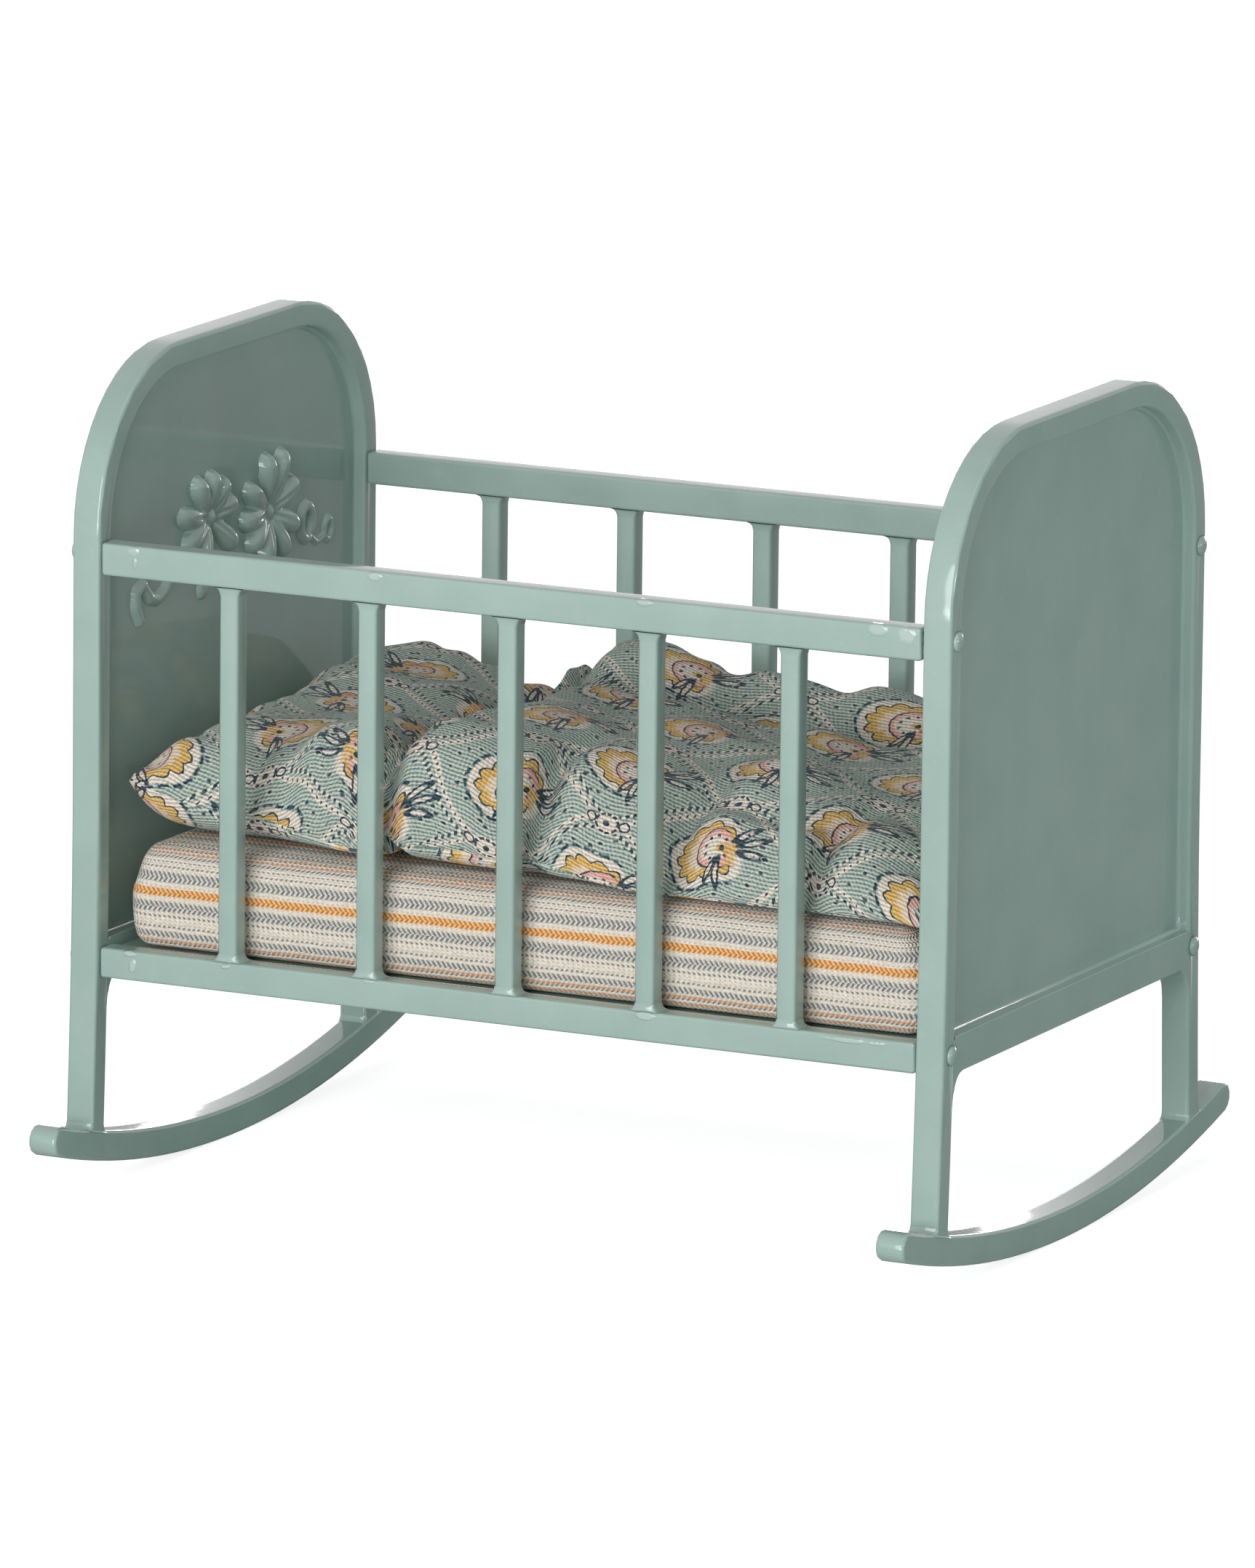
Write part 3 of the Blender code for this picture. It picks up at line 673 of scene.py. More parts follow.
def make_print():
    """Ogee lattice with dotted bands, rings at its crossings and flowers, on ribbed twill."""
    material, tree, shader = new_material("printed_twill", Roughness=0.9, Specular_IOR_Level=0.15,
                                          Sheen_Weight=0.15, Sheen_Roughness=0.5)
    s, t = cloth_coordinates(tree)
    fine = noise(joined(s * 1.5, t * 3.0), 1.7, 2.0)
    hand_s = noise(joined(s, t), 1.5, 1.0) - 0.5
    hand_t = noise(joined(s + 40.0, t), 1.5, 1.0) - 0.5
    slow = noise(joined(s, t, 7.0), 0.12, 1.0) - 0.5
    rows = (t - s * 0.05 + slow * 0.3).wave(ROW_PITCH)
    twill = (s * 0.9 + t * 0.45).wave(TWILL_PITCH)
    rib = (rows * 0.85 + twill * 0.3 + (fine - 0.5) * 2.6).ease(-1.0, 0.8)
    s = s + hand_s * 0.4 + slow * 1.2
    t = t + hand_t * 0.4 + slow * 0.9
    a = s / CELL[0]
    b = t / CELL[1]
    a0 = a - (a + 0.5).floor()
    b0 = b - (b + 0.5).floor()
    edge = ((a0 * math.tau).cos() + 1.0) * 0.25
    side = abs(b0) - edge
    other = side.above_zero()
    sign_a = a0.above_zero() * 2.0 - 1.0
    sign_b = b0.above_zero() * 2.0 - 1.0
    slope = (a0 * math.tau).sin() * (math.pi / 2 * CELL[1] / CELL[0])
    across = side * CELL[1] / (slope * slope + 1.0).root()
    x = (a0 - other * sign_a * 0.5) * CELL[0]
    y = (b0 - other * sign_b * 0.5) * CELL[1]

    green = blend(fine.ease(0.3, 0.7), srgb(84, 114, 108), srgb(119, 145, 138))
    pale, navy, ochre, pink, cream = (blend(rib, srgb(*low), srgb(*high)) for low, high in INKS)
    layers = [blend(rib * 0.68, green, srgb(224, 229, 220))]

    def lay(share, ink):
        layers.append(blend(share, layers[-1], ink))

    # Bands of the lattice: a pale line beside a row of dots
    line = across.near(-0.1, 0.36, 0.16)
    beads = (s + abs(b0) * 5.0).wave(BEAD_PITCH)
    row = across.near(0.95, 0.24, 0.14)
    lay(line, pale)
    lay(across.near(0.95, 0.3, 0.16) * beads.ease(-0.2, -0.6), pale)
    lay(row * beads.ease(0.0, 0.4), navy)
    lay(across.near(-0.1, 0.16, 0.12) * beads.ease(0.45, 0.75), navy)

    # Rings where it crosses
    reach = (a0 * CELL[0], (0.5 - abs(b0)) * CELL[1])
    far = ((0.5 - abs(a0)) * CELL[0], b0 * CELL[1])
    excess = far[0] * far[0] + far[1] * far[1] - reach[0] * reach[0] - reach[1] * reach[1]
    nearer = excess.ease(-0.01, 0.01)
    ring_x = abs(far[0] + (reach[0] - far[0]) * nearer)
    ring_y = far[1] + (reach[1] - far[1]) * nearer
    ring = oval(ring_x, ring_y, 0.0, (1.75, 1.35))
    link = oval(ring_x, ring_y, 2.5, (0.75, 0.65))
    broken = (ring_y.angle_of(ring_x) * 9.0).sin().ease(-0.8, -0.3)
    for shape in (ring, link):
        lay(shape.ease(1.22, 1.1), pale)
    lay(link.near(0.92, 0.2, 0.16), navy)
    lay(ring.near(0.92, 0.13, 0.1) * broken, navy)
    lay(ring.ease(0.34, 0.24), navy)

    # Flower: scalloped ochre rim, pink crescent with dots, and an ochre heart, open towards +s
    u = x - 1.8
    rim_place = (u + 2.1) * (1 / 4.9)
    rim_up = y * (1 / 3.7)
    turn = rim_up.angle_of(rim_place)
    halo = (rim_place.hypot(rim_up) - 1.0) * 4.1
    gap = halo - abs((turn * 5.5).sin()) * 0.75 + 0.5
    closed = u.ease(2.6, 1.4)
    lay(halo.ease(1.05, 0.9) * u.ease(3.6, 2.4), pale)
    dashes = (turn * 19.0).sin().ease(-0.8, -0.4)
    lay(halo.near(1.32, 0.19, 0.12) * dashes * closed, navy)
    lay(gap.ease(0.05, -0.05) * closed, ochre)
    inner = (gap + 1.0 + abs((turn * 5.5 + 0.5).sin()) * 0.5 + (fine - 0.5) * 0.8).ease(0.35, -0.35)
    lay(inner, cream)
    lay(gap.near(0.0, 0.13, 0.12) * closed, navy)
    heart_place = (u + 0.8) * (1 / 3.1)
    heart_up = y * (1 / 2.6)
    heart_turn = heart_up.angle_of(heart_place)
    heart = (heart_place.hypot(heart_up) - 1.0) * 2.8
    half_open = u.ease(1.6, 0.4)
    lay(heart.ease(0.06, -0.06) * half_open, pink)
    fade = (heart + heart_turn.cos() * 0.45).ease(-0.75, -1.25)
    lay(fade * heart.ease(0.0, -0.1), pale)
    spots = (heart_turn * 9.0).sin().ease(0.3, 0.6) * heart.near(-1.15, 0.22, 0.12) * half_open
    lay(spots, navy)
    lay(heart.near(0.0, 0.11, 0.1) * half_open, navy)
    lay(oval(u, y, 0.25, (1.2, 0.6)).ease(1.1, 0.9), ochre)
    lay(oval(u, y, 0.0, (0.42, 0.4)).ease(1.1, 0.9), navy)

    # Leaves behind its heart
    for turned, place, size in PRINT_LEAVES:
        leaf = oval(u, y - abs(u) * 0.08, place, size, turned)
        lay(leaf.ease(1.1, 0.9) * 0.8, pale)
        lay(leaf.near(1.0, 0.34, 0.24) * (fine + hand_s).ease(0.15, 0.3), navy)

    # Scattered ticks where the ground is free
    tick = new_node(tree, "TexVoronoi", "Distance", {"Vector": joined(s, t * 1.6), "Scale": 0.42},
                    voronoi_dimensions="2D")
    clear = gap.ease(1.5, 1.9) * abs(across).ease(1.3, 1.6) * ring.ease(1.4, 1.7)
    lay(tick.ease(0.17, 0.1) * clear, navy)
    lay(tick.near(0.25, 0.03, 0.05) * clear * 0.6, pale)

    # Wear, and the ribs of the twill
    worn = noise(joined(s, t), 0.9, 3.0)
    lay(worn.ease(0.5, 0.8) * 0.14, srgb(196, 202, 194))
    plug(tree, layers[-1], shader.inputs["Base Color"])
    plug(tree, bump(rib * 0.9 + fine * 0.8 + worn * 0.6, 0.00008), shader.inputs["Normal"])
    return material


# Stripes of the mattress cover on cream, as spans from its top front edge, in millimetres
STRIPES = {
    "grey": ((2.3, 3.6), (6.25, 7.55), (10.2, 11.0), (11.6, 11.9), (12.9, 13.5)),
    "orange": ((4.4, 5.5),),
    "dash": ((0.5, 0.78), (1.5, 1.8), (7.95, 8.25), (9.4, 9.7)),
    "rust": ((11.3, 11.6), (12.25, 12.6)),
}
STRIPE_REPEAT = 13.65
STRIPE_SOFT = 0.05
FLOAT_PITCH = 0.72              # of the slanted floats along the cloth
CHEVRON_PITCH = 1.98            # across it, of two rows that slant opposite ways
PICK_PITCH = 0.5                # across it, of the plain weave


def stripe_level(tree, share, spans):
    """1 in the given spans, for a share of the repeat."""
    stops = [(0.0, 0.0)]
    for start, end in spans:
        stops += [(start - STRIPE_SOFT, 0.0), (start + STRIPE_SOFT, 1.0),
                  (end - STRIPE_SOFT, 1.0), (end + STRIPE_SOFT, 0.0)]
    node = tree.nodes.new("ShaderNodeValToRGB")
    elements = node.color_ramp.elements
    while len(elements) < len(stops):
        elements.new(1.0)
    for element, (place, level) in zip(elements, stops):
        element.position = place / STRIPE_REPEAT
        element.color = (level, level, level, 1)
    plug(tree, share, node.inputs["Fac"])
    return Wire(tree, node.outputs["Color"])


def make_stripes():
    """Stripes along the cloth, woven of short slanted floats."""
    material, tree, shader = new_material("striped_weave", Roughness=0.92, Specular_IOR_Level=0.12,
                                          Sheen_Weight=0.2, Sheen_Roughness=0.6)
    s, t = cloth_coordinates(tree)
    slow = noise(joined(s, t), 0.2, 1.0) - 0.5
    quick = noise(joined(s, t), 1.6, 2.0) - 0.5
    across = t + slow * 0.35 + quick * 0.14
    share = across / STRIPE_REPEAT
    share = share - share.floor()
    bands = {kind: stripe_level(tree, share, spans) for kind, spans in STRIPES.items()}
    fine = noise(joined(s, t), 2.4, 2.0)
    slant = (s + across * 0.7 + quick * 0.2).wave(FLOAT_PITCH)
    zig = (s - across * 0.7 + quick * 0.2).wave(FLOAT_PITCH)
    stroke = blend(across.wave(CHEVRON_PITCH).ease(-0.2, 0.2), slant, zig)
    dark = (stroke + (fine - 0.5) * 1.2).ease(-0.15, 0.3)
    yarn = blend(fine.ease(0.3, 0.7), srgb(222, 213, 200), srgb(241, 234, 223))
    dots = s.wave(FLOAT_PITCH) * 0.6 + across.wave(PICK_PITCH) * 0.6 + (fine - 0.5) * 0.8
    yarn = blend(dots.ease(0.35, 0.85) * 0.42, yarn, srgb(158, 142, 120))
    grey = blend(fine.ease(0.35, 0.65), srgb(88, 99, 109), srgb(124, 132, 138))
    colour = blend(bands["grey"] * (dark * 0.78 + 0.16), yarn, grey)
    bright = blend(dark, srgb(238, 194, 132), srgb(200, 116, 34))
    colour = blend(bands["orange"] * 0.96, colour, bright)
    colour = blend(bands["dash"] * dark * 0.85, colour, srgb(104, 108, 110))
    colour = blend(bands["rust"] * (dark * 0.4 + 0.5), colour, srgb(196, 118, 46))
    plug(tree, colour, shader.inputs["Base Color"])
    plug(tree, bump(stroke * 0.5 + dots * 0.4 + fine * 1.2, 0.00009), shader.inputs["Normal"])
    return material


PRINT = make_print()
WEAVE = make_stripes()


# Mattress

def mattress_ring(corner_steps=8, gap=1.6 * MM):
    """Outline of the mattress as (x, y), anticlockwise, with points about a gap apart on its sides."""
    x, y = MATTRESS_HALF_LENGTH - MATTRESS_CORNER, MATTRESS_HALF_WIDTH - MATTRESS_CORNER
    plan = []
    for start, (cx, cy) in enumerate(((x, y), (-x, y), (-x, -y), (x, -y))):
        for step in range(corner_steps + 1):
            angle = math.pi / 2 * (start + step / corner_steps)
            plan.append((cx + MATTRESS_CORNER * math.cos(angle), cy + MATTRESS_CORNER * math.sin(angle)))
    ring = []
    for (x, y), (next_x, next_y) in zip(plan, plan[1:] + plan[:1]):
        pieces = max(1, round(math.hypot(next_x - x, next_y - y) / gap))
        for step in range(pieces):
            share = step / pieces
            ring.append((x + (next_x - x) * share, y + (next_y - y) * share))
    return np.array(ring)


def mattress_levels():
    """From the bottom up: height, how far the side stands out, and distance down the cloth."""
    levels = []
    for share in (0.0, 0.15, 0.35, 0.6, 0.8, 1.0):
        angle = math.pi / 2 * share
        z = MATTRESS_BOTTOM + MATTRESS_LOW_EDGE * (1 - math.cos(angle))
        levels.append((z, -MATTRESS_LOW_EDGE * (1 - math.sin(angle)), MATTRESS_TOP - z))
    straight = MATTRESS_TOP - MATTRESS_BOTTOM - MATTRESS_LOW_EDGE - MATTRESS_EDGE_UP
    for share in np.linspace(0, 1, 12)[1:-1]:
        z = MATTRESS_BOTTOM + MATTRESS_LOW_EDGE + straight * share
        levels.append((z, 0.35 * MM * math.sin(math.pi * share), MATTRESS_TOP - z))
    for share in (1.0, 0.85, 0.7, 0.5, 0.3, 0.15, 0.0):
        angle = math.pi / 2 * share
        levels.append((MATTRESS_TOP - MATTRESS_EDGE_UP * (1 - math.cos(angle)),
                       -MATTRESS_EDGE_IN * (1 - math.sin(angle)),
                       MATTRESS_EDGE_UP * share - MATTRESS_EDGE_IN * (1 - share)))
    return levels


def end_lean(z):
    """How far the ends draw in at a height, towards the top and the bottom."""
    over = max(0.0, (z - 38.5 * MM) / (7.2 * MM))
    under = max(0.0, (35.2 * MM - z) / (3.0 * MM))
    return 2.1 * MM * over ** 1.5 + 0.6 * MM * under ** 1.5


def mattress_sides(ring, levels):
    """Points of the sides, ring by ring, with a ripple round them."""
    outward = -inward(ring)
    outward /= np.linalg.norm(outward, axis=1)[:, None]
    waves = np.random.default_rng(5).normal(size=(6, 4))
    around = np.linspace(0, 1, len(ring), endpoint=False)
    ripple = sum(w[0] * np.sin(math.tau * (k + 2) * around + w[1] * 3) for k, w in enumerate(waves)) / 6
    at_end = np.clip((np.abs(ring[:, 0]) - 46 * MM) / (11 * MM), 0, 1) ** 2
    points = []
    for z, out, _ in levels:
        share = (z - MATTRESS_BOTTOM) / (MATTRESS_TOP - MATTRESS_BOTTOM)
        sway = 0.22 * MM * ripple * math.sin(math.pi * share)
        drawn = out * (1 - 0.6 * np.abs(outward[:, 0])) if share > 0.6 else out
        place = ring + outward * (drawn - 0.35 * MM + sway)[:, None]
        place[:, 0] -= np.sign(place[:, 0]) * end_lean(z) * at_end
        points += [(x, y, z) for x, y in place]
    return points


def flat_place(point):
    """Cloth coordinates of the top and bottom sheets, which go on from the front edge."""
    return (point[0] + 0.2, -(point[1] + MATTRESS_HALF_WIDTH))


def add_mattress():
    """A boxed pad: rounded upright corners, slightly bulged sides, seams at its edges."""
    ring = mattress_ring()
    levels = mattress_levels()
    points = mattress_sides(ring, levels)
    count = len(ring)
    faces = strip_faces(len(levels), count)
    cloth = []
    lengths = np.concatenate([[0], np.cumsum(np.linalg.norm(np.roll(ring, -1, axis=0) - ring, axis=1))])
    # The stripes sag a little on the front
    sag = [(0.4 + 0.6 * min(1, max(0, (0.02 - x) / 0.06))) * MM for x, _ in ring] * 2
    for level in range(len(levels) - 1):
        for index in range(count):
            for row, where in ((level, index), (level, index + 1),
                               (level + 1, index + 1), (level + 1, index)):
                cloth.append((lengths[where], levels[row][2] - sag[where]))
    for is_top, base, z, crown in ((True, len(points) - count, MATTRESS_TOP, 0.25 * MM),
                                   (False, 0, MATTRESS_BOTTOM, 0.0)):
        rings_in = [list(range(base, base + count))]
        rim = np.array([points[index][:2] for index in rings_in[0]])
        for share in (0.97, 0.93, 0.86, 0.74, 0.55, 0.3):
            rings_in.append(list(range(len(points), len(points) + count)))
            for x, y in rim * share:
                lift = crown * math.sqrt(1 - share ** 4)
                dip = 0.12 * MM * math.sin(x * 310 + y * 170) * (1 - share) if is_top else 0.0
                points.append((x, y, z + lift + dip))
        rings_in.append([len(points)] * count)
        points.append((0.0, 0.0, z + crown))
        for outer, inner in zip(rings_in, rings_in[1:]):
            for index in range(count):
                after_it = (index + 1) % count
                face = (outer[index], outer[after_it], inner[after_it], inner[index])
                if inner[after_it] == inner[index]:
                    face = face[:3]
                face = face if is_top else face[::-1]
                faces.append(face)
                cloth += [flat_place(points[corner]) for corner in face]
    item = new_piece("striped_mattress", points, faces, WEAVE, ride=False)
    set_cloth(item, cloth)
    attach(item, "mattress")
    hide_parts("mattress")


add_mattress()


# Pillow and duvet, in millimetres until they are made

REST = BED_REST / MM
PILLOW = {"low": -57.3, "high": -18.8, "width": 66.0, "draw": 2.2}
DUVET = {"low": -22.3, "high": 57.3, "width": 67.0, "draw": 1.2}
FOLD_PLACES = (-20.0, 0.4, 20.2, 40.1)  # along X, where the front spindles press on the duvet
DEEP_FOLD = FOLD_PLACES[1]
CLOTH_SCALE = 0.02              # metres of simulated cloth for a millimetre of bedding
CLOTH_FRAMES = 20
CLOTH_GROWTH = 0.035
CLOTH_PRESSURE = 2.5


def swell(share, power):
    """1 in the middle and 0 at the rim, flatter on top with a higher power."""
    return np.sqrt(np.clip(1 - np.abs(share) ** power, 0, None))


def even_shares(count, power, rise):
    """From -1 to 1, in steps that cut a swelling profile into equal lengths."""
    fine = np.linspace(-1, 1, 4001)
    steps = np.hypot(np.diff(fine), np.diff(rise * swell(fine, power)))
    length = np.concatenate([[0], np.cumsum(steps)])
    return np.interp(np.linspace(0, length[-1], count + 1), length, fine)


def bell(x, middle, width):
    """1 in the middle, falling away smoothly."""
    return np.exp(-((x - middle) / width) ** 2)


def ramp(x, low, high):
    """0 at low and 1 at high, held beyond them."""
    return np.clip((x - low) / (high - low), 0, 1)


def hill(u, v, place, width):
    """A smooth bump, 1 at its place."""
    return bell(u, place[0], width[0]) * bell(v, place[1], width[1])


def plan_of(size, u, v):
    """Plan of a pad whose sides pull in between its corners."""
    middle = (size["low"] + size["high"]) / 2
    half = (size["high"] - size["low"]) / 2
    x = middle + u * (half - size["draw"] * (1 - v * v))
    y = v * (size["width"] / 2 - size["draw"] * (1 - u * u))
    return x, y


def soft_noise(seed, x, y, lengths, count=40):
    """Smooth random field of waves whose lengths lie between two sizes."""
    rng = np.random.default_rng(seed)
    field = np.zeros(np.shape(x))
    for _ in range(count):
        length = rng.uniform(*lengths)
        angle = rng.uniform(0, math.tau)
        phase = rng.uniform(0, math.tau)
        field += np.sin(math.tau * (x * math.cos(angle) + y * math.sin(angle)) / length + phase)
    return field / math.sqrt(count / 2)


def cell_corners(i, j):
    return (i, j), (i + 1, j), (i + 1, j + 1), (i, j + 1)


def pad_mesh(top, bottom):
    """Points and faces of two sheets that share their rim."""
    rows, columns = top.shape[:2]
    upper = np.arange(rows * columns).reshape(rows, columns)
    lower = upper.copy()
    lower[1:-1, 1:-1] = upper.size + np.arange((rows - 2) * (columns - 2)).reshape(rows - 2, columns - 2)
    points = np.concatenate([top.reshape(-1, 3), bottom[1:-1, 1:-1].reshape(-1, 3)])
    faces = []
    for i in range(rows - 1):
        for j in range(columns - 1):
            faces.append([int(upper[corner]) for corner in cell_corners(i, j)])
            faces.append([int(lower[corner]) for corner in reversed(cell_corners(i, j))])
    return points, faces, upper, lower


def settle(points, faces, free, limit):
    """Points of a pad after a cloth simulation, blown from inside, none moved over limit."""
    item = new_piece("settling", points * CLOTH_SCALE, faces, PRINT, ride=False)
    held = item.vertex_groups.new(name="held")
    held.add([index for index in range(len(points)) if index not in free], 1.0, "REPLACE")
    cloth = item.modifiers.new("cloth", "CLOTH")
    for setting, value in {
            "quality": 6, "mass": 0.25, "tension_stiffness": 25, "compression_stiffness": 25,
            "shear_stiffness": 8, "bending_stiffness": 0.35, "air_damping": 2,
            "vertex_group_mass": "held", "use_pressure": True, "uniform_pressure_force": CLOTH_PRESSURE,
            "shrink_min": -CLOTH_GROWTH, "shrink_max": -CLOTH_GROWTH}.items():
        setattr(cloth.settings, setting, value)
    cloth.settings.effector_weights.gravity = 0
    cloth.collision_settings.use_collision = False
    cloth.point_cache.frame_end = CLOTH_FRAMES
    for step in range(CLOTH_FRAMES):
        bpy.context.scene.frame_set(step + 1)
    shape = item.evaluated_get(bpy.context.evaluated_depsgraph_get()).to_mesh()
    moved = np.array([vertex.co[:] for vertex in shape.vertices]) / CLOTH_SCALE - points
    bpy.data.objects.remove(item, do_unlink=True)
    bpy.context.scene.frame_set(1)
    far = np.linalg.norm(moved, axis=1)[:, None] + 1e-9
    return points + moved / far * limit * np.tanh(far / limit)


def cloth_grid(sheet, turn):
    """Distances along a sheet's rows and columns in metres, turned by an angle."""
    spans = []
    for axis in (0, 1):
        step = np.diff(sheet, axis=axis, prepend=np.take(sheet, [0], axis))
        span = np.cumsum(np.linalg.norm(step, axis=2), axis=axis)
        spans.append((span - np.take(span, [span.shape[axis] // 2], axis)) * MM)
    s = spans[0] * math.cos(turn) + spans[1] * math.sin(turn)
    t = spans[1] * math.cos(turn) - spans[0] * math.sin(turn)
    return s, t


def make_pad(name, body, top, bottom, limit, kept, turn, offset, flip):
    """A pad of two sheets: settled, with UVs by cloth length and one subdivision, attached to its body,
    whose CAD node it hides.

    kept gives for each x how far a point goes back to where it was drawn.
    """
    drawn, faces, upper, lower = pad_mesh(top, bottom)
    points = settle(drawn, faces, set(upper[1:-1, 1:-1].ravel().tolist()), limit)
    points = points + (drawn - points) * kept(drawn[:, 0])[:, None]
    points[:, 1] = np.clip(points[:, 1], -SIDE_LIMIT / MM, SIDE_LIMIT / MM)
    item = new_piece(name, points * MM, faces, PRINT, ride=False)
    places = []
    for grid in (upper, lower):
        s, t = cloth_grid(points[grid], turn)
        places.append(np.stack([s * flip + offset[0] * MM, t + offset[1] * MM], axis=2))
    cloth = []
    for i in range(upper.shape[0] - 1):
        for j in range(upper.shape[1] - 1):
            cloth += [places[0][corner] for corner in cell_corners(i, j)]
            cloth += [places[1][corner] for corner in reversed(cell_corners(i, j))]
    set_cloth(item, cloth)
    rounder = item.modifiers.new("rounder", "SUBSURF")
    rounder.levels = 1
    rounder.render_levels = 1
    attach(item, body)
    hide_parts(body)
    return item


def rim_pucker(seed, u, v, x, y, depth, reach):
    """Small gathers that run in from the seams."""
    near_u = np.exp(-(1 - np.abs(u)) / reach)
    near_v = np.exp(-(1 - np.abs(v)) / reach)
    along_y = soft_noise(seed, y, y * 0, (4.5, 8.0), 14)
    along_x = soft_noise(seed + 1, x, x * 0, (4.5, 8.0), 14)
    return depth * (near_u * (1 - near_u) * along_y + near_v * (1 - near_v) * along_x) * 2


def add_pillow():
    u, v = np.meshgrid(even_shares(56, 4, 0.6), even_shares(84, 8, 0.4), indexing="ij")
    x, y = plan_of(PILLOW, u, v)
    corner = hill(u, v, (-1, -1), (0.45, 0.5))
    # Edge seam: up at the head and at the front corner
    seam = REST + 2.4 + 4.0 * ((1 - u) / 2) ** 3 + 1.2 * corner
    seam += 1.1 * hill(u, v, (-0.1, -1), (0.3, 0.4))
    seam -= 0.9 * hill(u, v, (0.65, -1), (0.35, 0.4))
    # Filling over the seam: humps, dips and gathers
    crown = 10.6 + 2.9 * v + 8.0 * hill(u, v, (0.65, -0.9), (0.55, 0.5))
    crown += 0.5 * hill(u, v, (0.0, 0.75), (0.35, 0.35)) - 2.0 * hill(u, v, (0.45, 0.85), (0.4, 0.5))
    crown -= 1.6 * hill(u + 0.25 * (v + 0.9), v, (-0.28, -0.86), (0.16, 0.18))
    crown += 0.35 * soft_noise(3, x, y, (9, 22)) + rim_pucker(11, u, v, x, y, 0.7, 0.16)
    crown -= 0.8 * hill(u, v, (-0.8, -0.9), (0.3, 0.4))
    top = seam + crown * swell(u, 4) * swell(v, 10)
    low = seam - (seam - REST - 0.05) * swell(u, 4 + 5 * corner) * swell(v, 8)
    top, low = (np.stack([x, y, z], axis=2) for z in (top, low))
    return make_pad("printed_pillow", "pillow", top, low, 1.2,
                    lambda along: ramp(along, -26.5, -24.0) * 0.8, 0.0, (-1.7, 3.3), -1)


def cover_over(item, x, y, reach=5.0, step=0.5, steep=3.0, flat=1.0, gap=0.45):
    """Height kept clear over a piece at the given places, falling away past its edge."""
    shape = BVHTree.FromObject(item, bpy.context.evaluated_depsgraph_get())
    xs = np.arange(-64, 64, step)
    ys = np.arange(-38, 38, step)
    field = np.full((len(xs), len(ys)), -99.0)
    for i in np.flatnonzero((xs >= -60) & (xs <= -10)):
        for j in range(len(ys)):
            hit = shape.ray_cast(Vector((xs[i] * MM, ys[j] * MM, 0.2)), Vector((0, 0, -1)))[0]
            if hit:
                field[i, j] = hit.z / MM
    spread = np.full(field.shape, -99.0)
    cells = int(reach / step)
    for dx in range(-cells, cells + 1):
        for dy in range(-cells, cells + 1):
            distance = math.hypot(dx, dy) * step
            if distance <= reach:
                shifted = np.roll(field, (dx, dy), (0, 1)) - steep * max(0.0, distance - flat)
                spread = np.maximum(spread, shifted)
    i = np.clip((x - xs[0]) / step, 0, len(xs) - 1.001)
    j = np.clip((y - ys[0]) / step, 0, len(ys) - 1.001)
    a, b = i.astype(int), j.astype(int)
    fa, fb = i - a, j - b
    return ((1 - fa) * ((1 - fb) * spread[a, b] + fb * spread[a, b + 1])
            + fa * ((1 - fb) * spread[a + 1, b] + fb * spread[a + 1, b + 1])) + gap


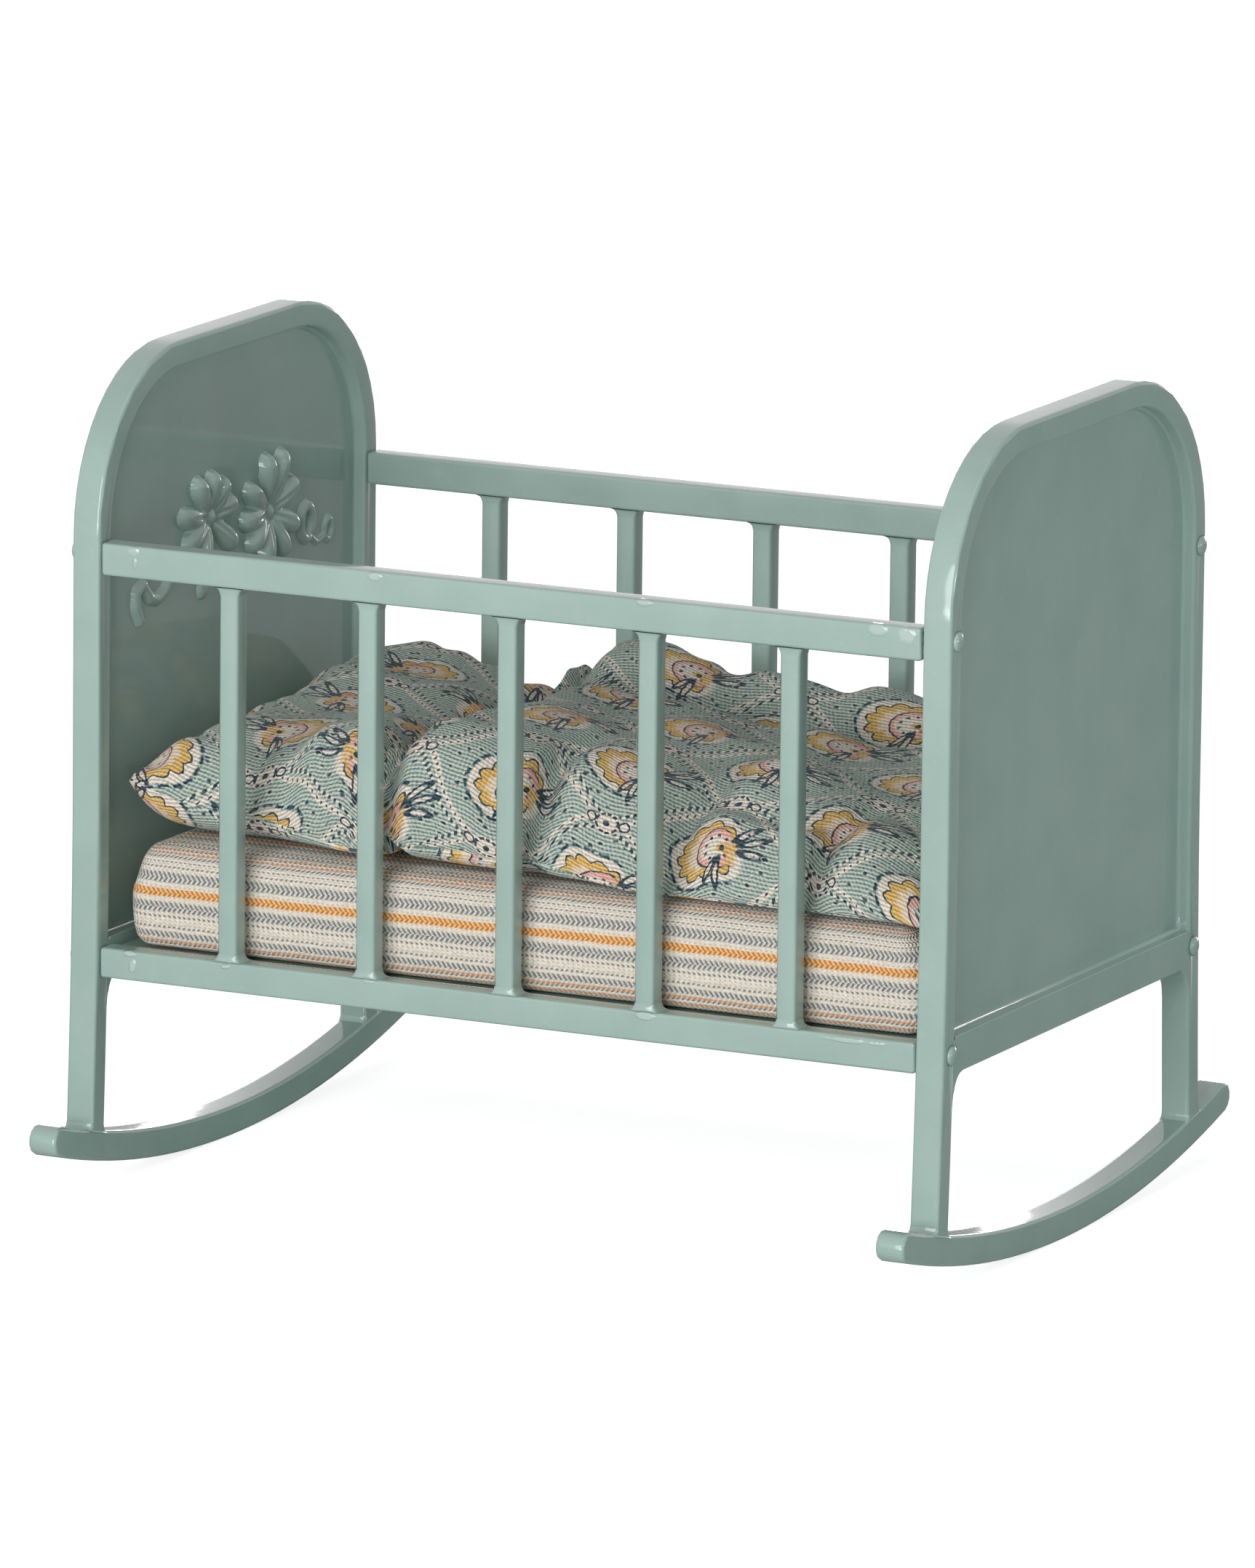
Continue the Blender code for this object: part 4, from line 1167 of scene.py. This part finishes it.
def add_duvet(pillow):
    u, v = np.meshgrid(even_shares(112, 8, 0.4), even_shares(84, 8, 0.4), indexing="ij")
    x, y = plan_of(DUVET, u, v)
    cover = cover_over(pillow, x, y)
    # Edge seam, drawn up and down along the front
    front = np.clip(-v, 0, 1) ** 2
    lift = 1.3 * ramp(x, 2, -12) - 1.5 * ramp(x, 6, 14)
    lift += 1.2 * bell(x, 0.6, 2.5)
    seam = REST + 1.9 + front * lift
    # Filling over the seam: humps, gathers and long troughs
    crown = 13.4 + 2.6 * v - 4.0 * u + 3.8 * hill(u, v, (-1.0, 0.9), (0.2, 0.45))
    crown -= 1.0 * hill(u, v, (-0.25, 0.8), (0.3, 0.4))
    crown += 0.35 * soft_noise(7, x, y, (10, 26)) + rim_pucker(21, u, v, x, y, 0.7, 0.1)
    crown -= (1.4 * bell(v, 0.1, 0.35) + 4.2 * bell(v - 0.05 * u, 0.45, 0.17)) * swell(u, 12)
    crown -= 1.9 * bell(v, -0.77, 0.07) * ramp(x, 21, 25) * ramp(x, 42, 38)
    # Folds that the spindles press in
    fold = np.zeros(x.shape)
    for place in FOLD_PLACES:
        slant = place + 0.16 * (y + 33)
        deep = 1.5 if place == DEEP_FOLD else 0.9
        fold += (0.7 * bell(x, slant, 2.4) + deep * bell(x, slant, 1.0)) * bell(v, -1, 0.42)
        fold += 0.6 * bell(x, place - 0.1 * (33 - y), 2.2) * np.exp(-(1 - v) / 0.3)
    crown -= 1.9 * fold
    corner = hill(u, v, (-1, -1), (0.6, 0.6))
    top = seam + crown * swell(u, 8 + 12 * corner) * swell(v, 10 + 8 * corner)
    # The sides bulge out between the spindles
    between = np.abs(np.sin(math.pi * (x - 0.4) / 19.9)) ** 0.7
    side = (1 - swell(v, 10) ** 2) * swell(u, 8)
    bulge = np.sign(v) * side * (between * 1.2 - 0.3)
    # Over the pillow it keeps clear of it
    lap = 1.5 + 4.2 * (1 + v) / 2 * swell(v, 8)
    top = np.maximum(top, cover + lap)
    low = np.maximum(REST + (seam - REST) * (1 - swell(u, 8) * swell(v, 8)) + 0.02, cover)
    rim = (np.abs(u) >= 1) | (np.abs(v) >= 1)
    edge = np.maximum(seam, cover + 0.6)
    top = np.where(rim, edge, top)
    sheet = np.stack([x, y, top], axis=2)
    sheet[..., 1] += np.where(rim, 0, bulge)
    make_pad("printed_duvet", "duvet", sheet, np.stack([x, y, low], axis=2),
             1.4, lambda along: ramp(along, -17.0, -19.5) * 0.6, -0.047, (-10.5, -2.9), 1)


add_duvet(add_pillow())


bpy.context.scene.view_settings.view_transform = "Standard"
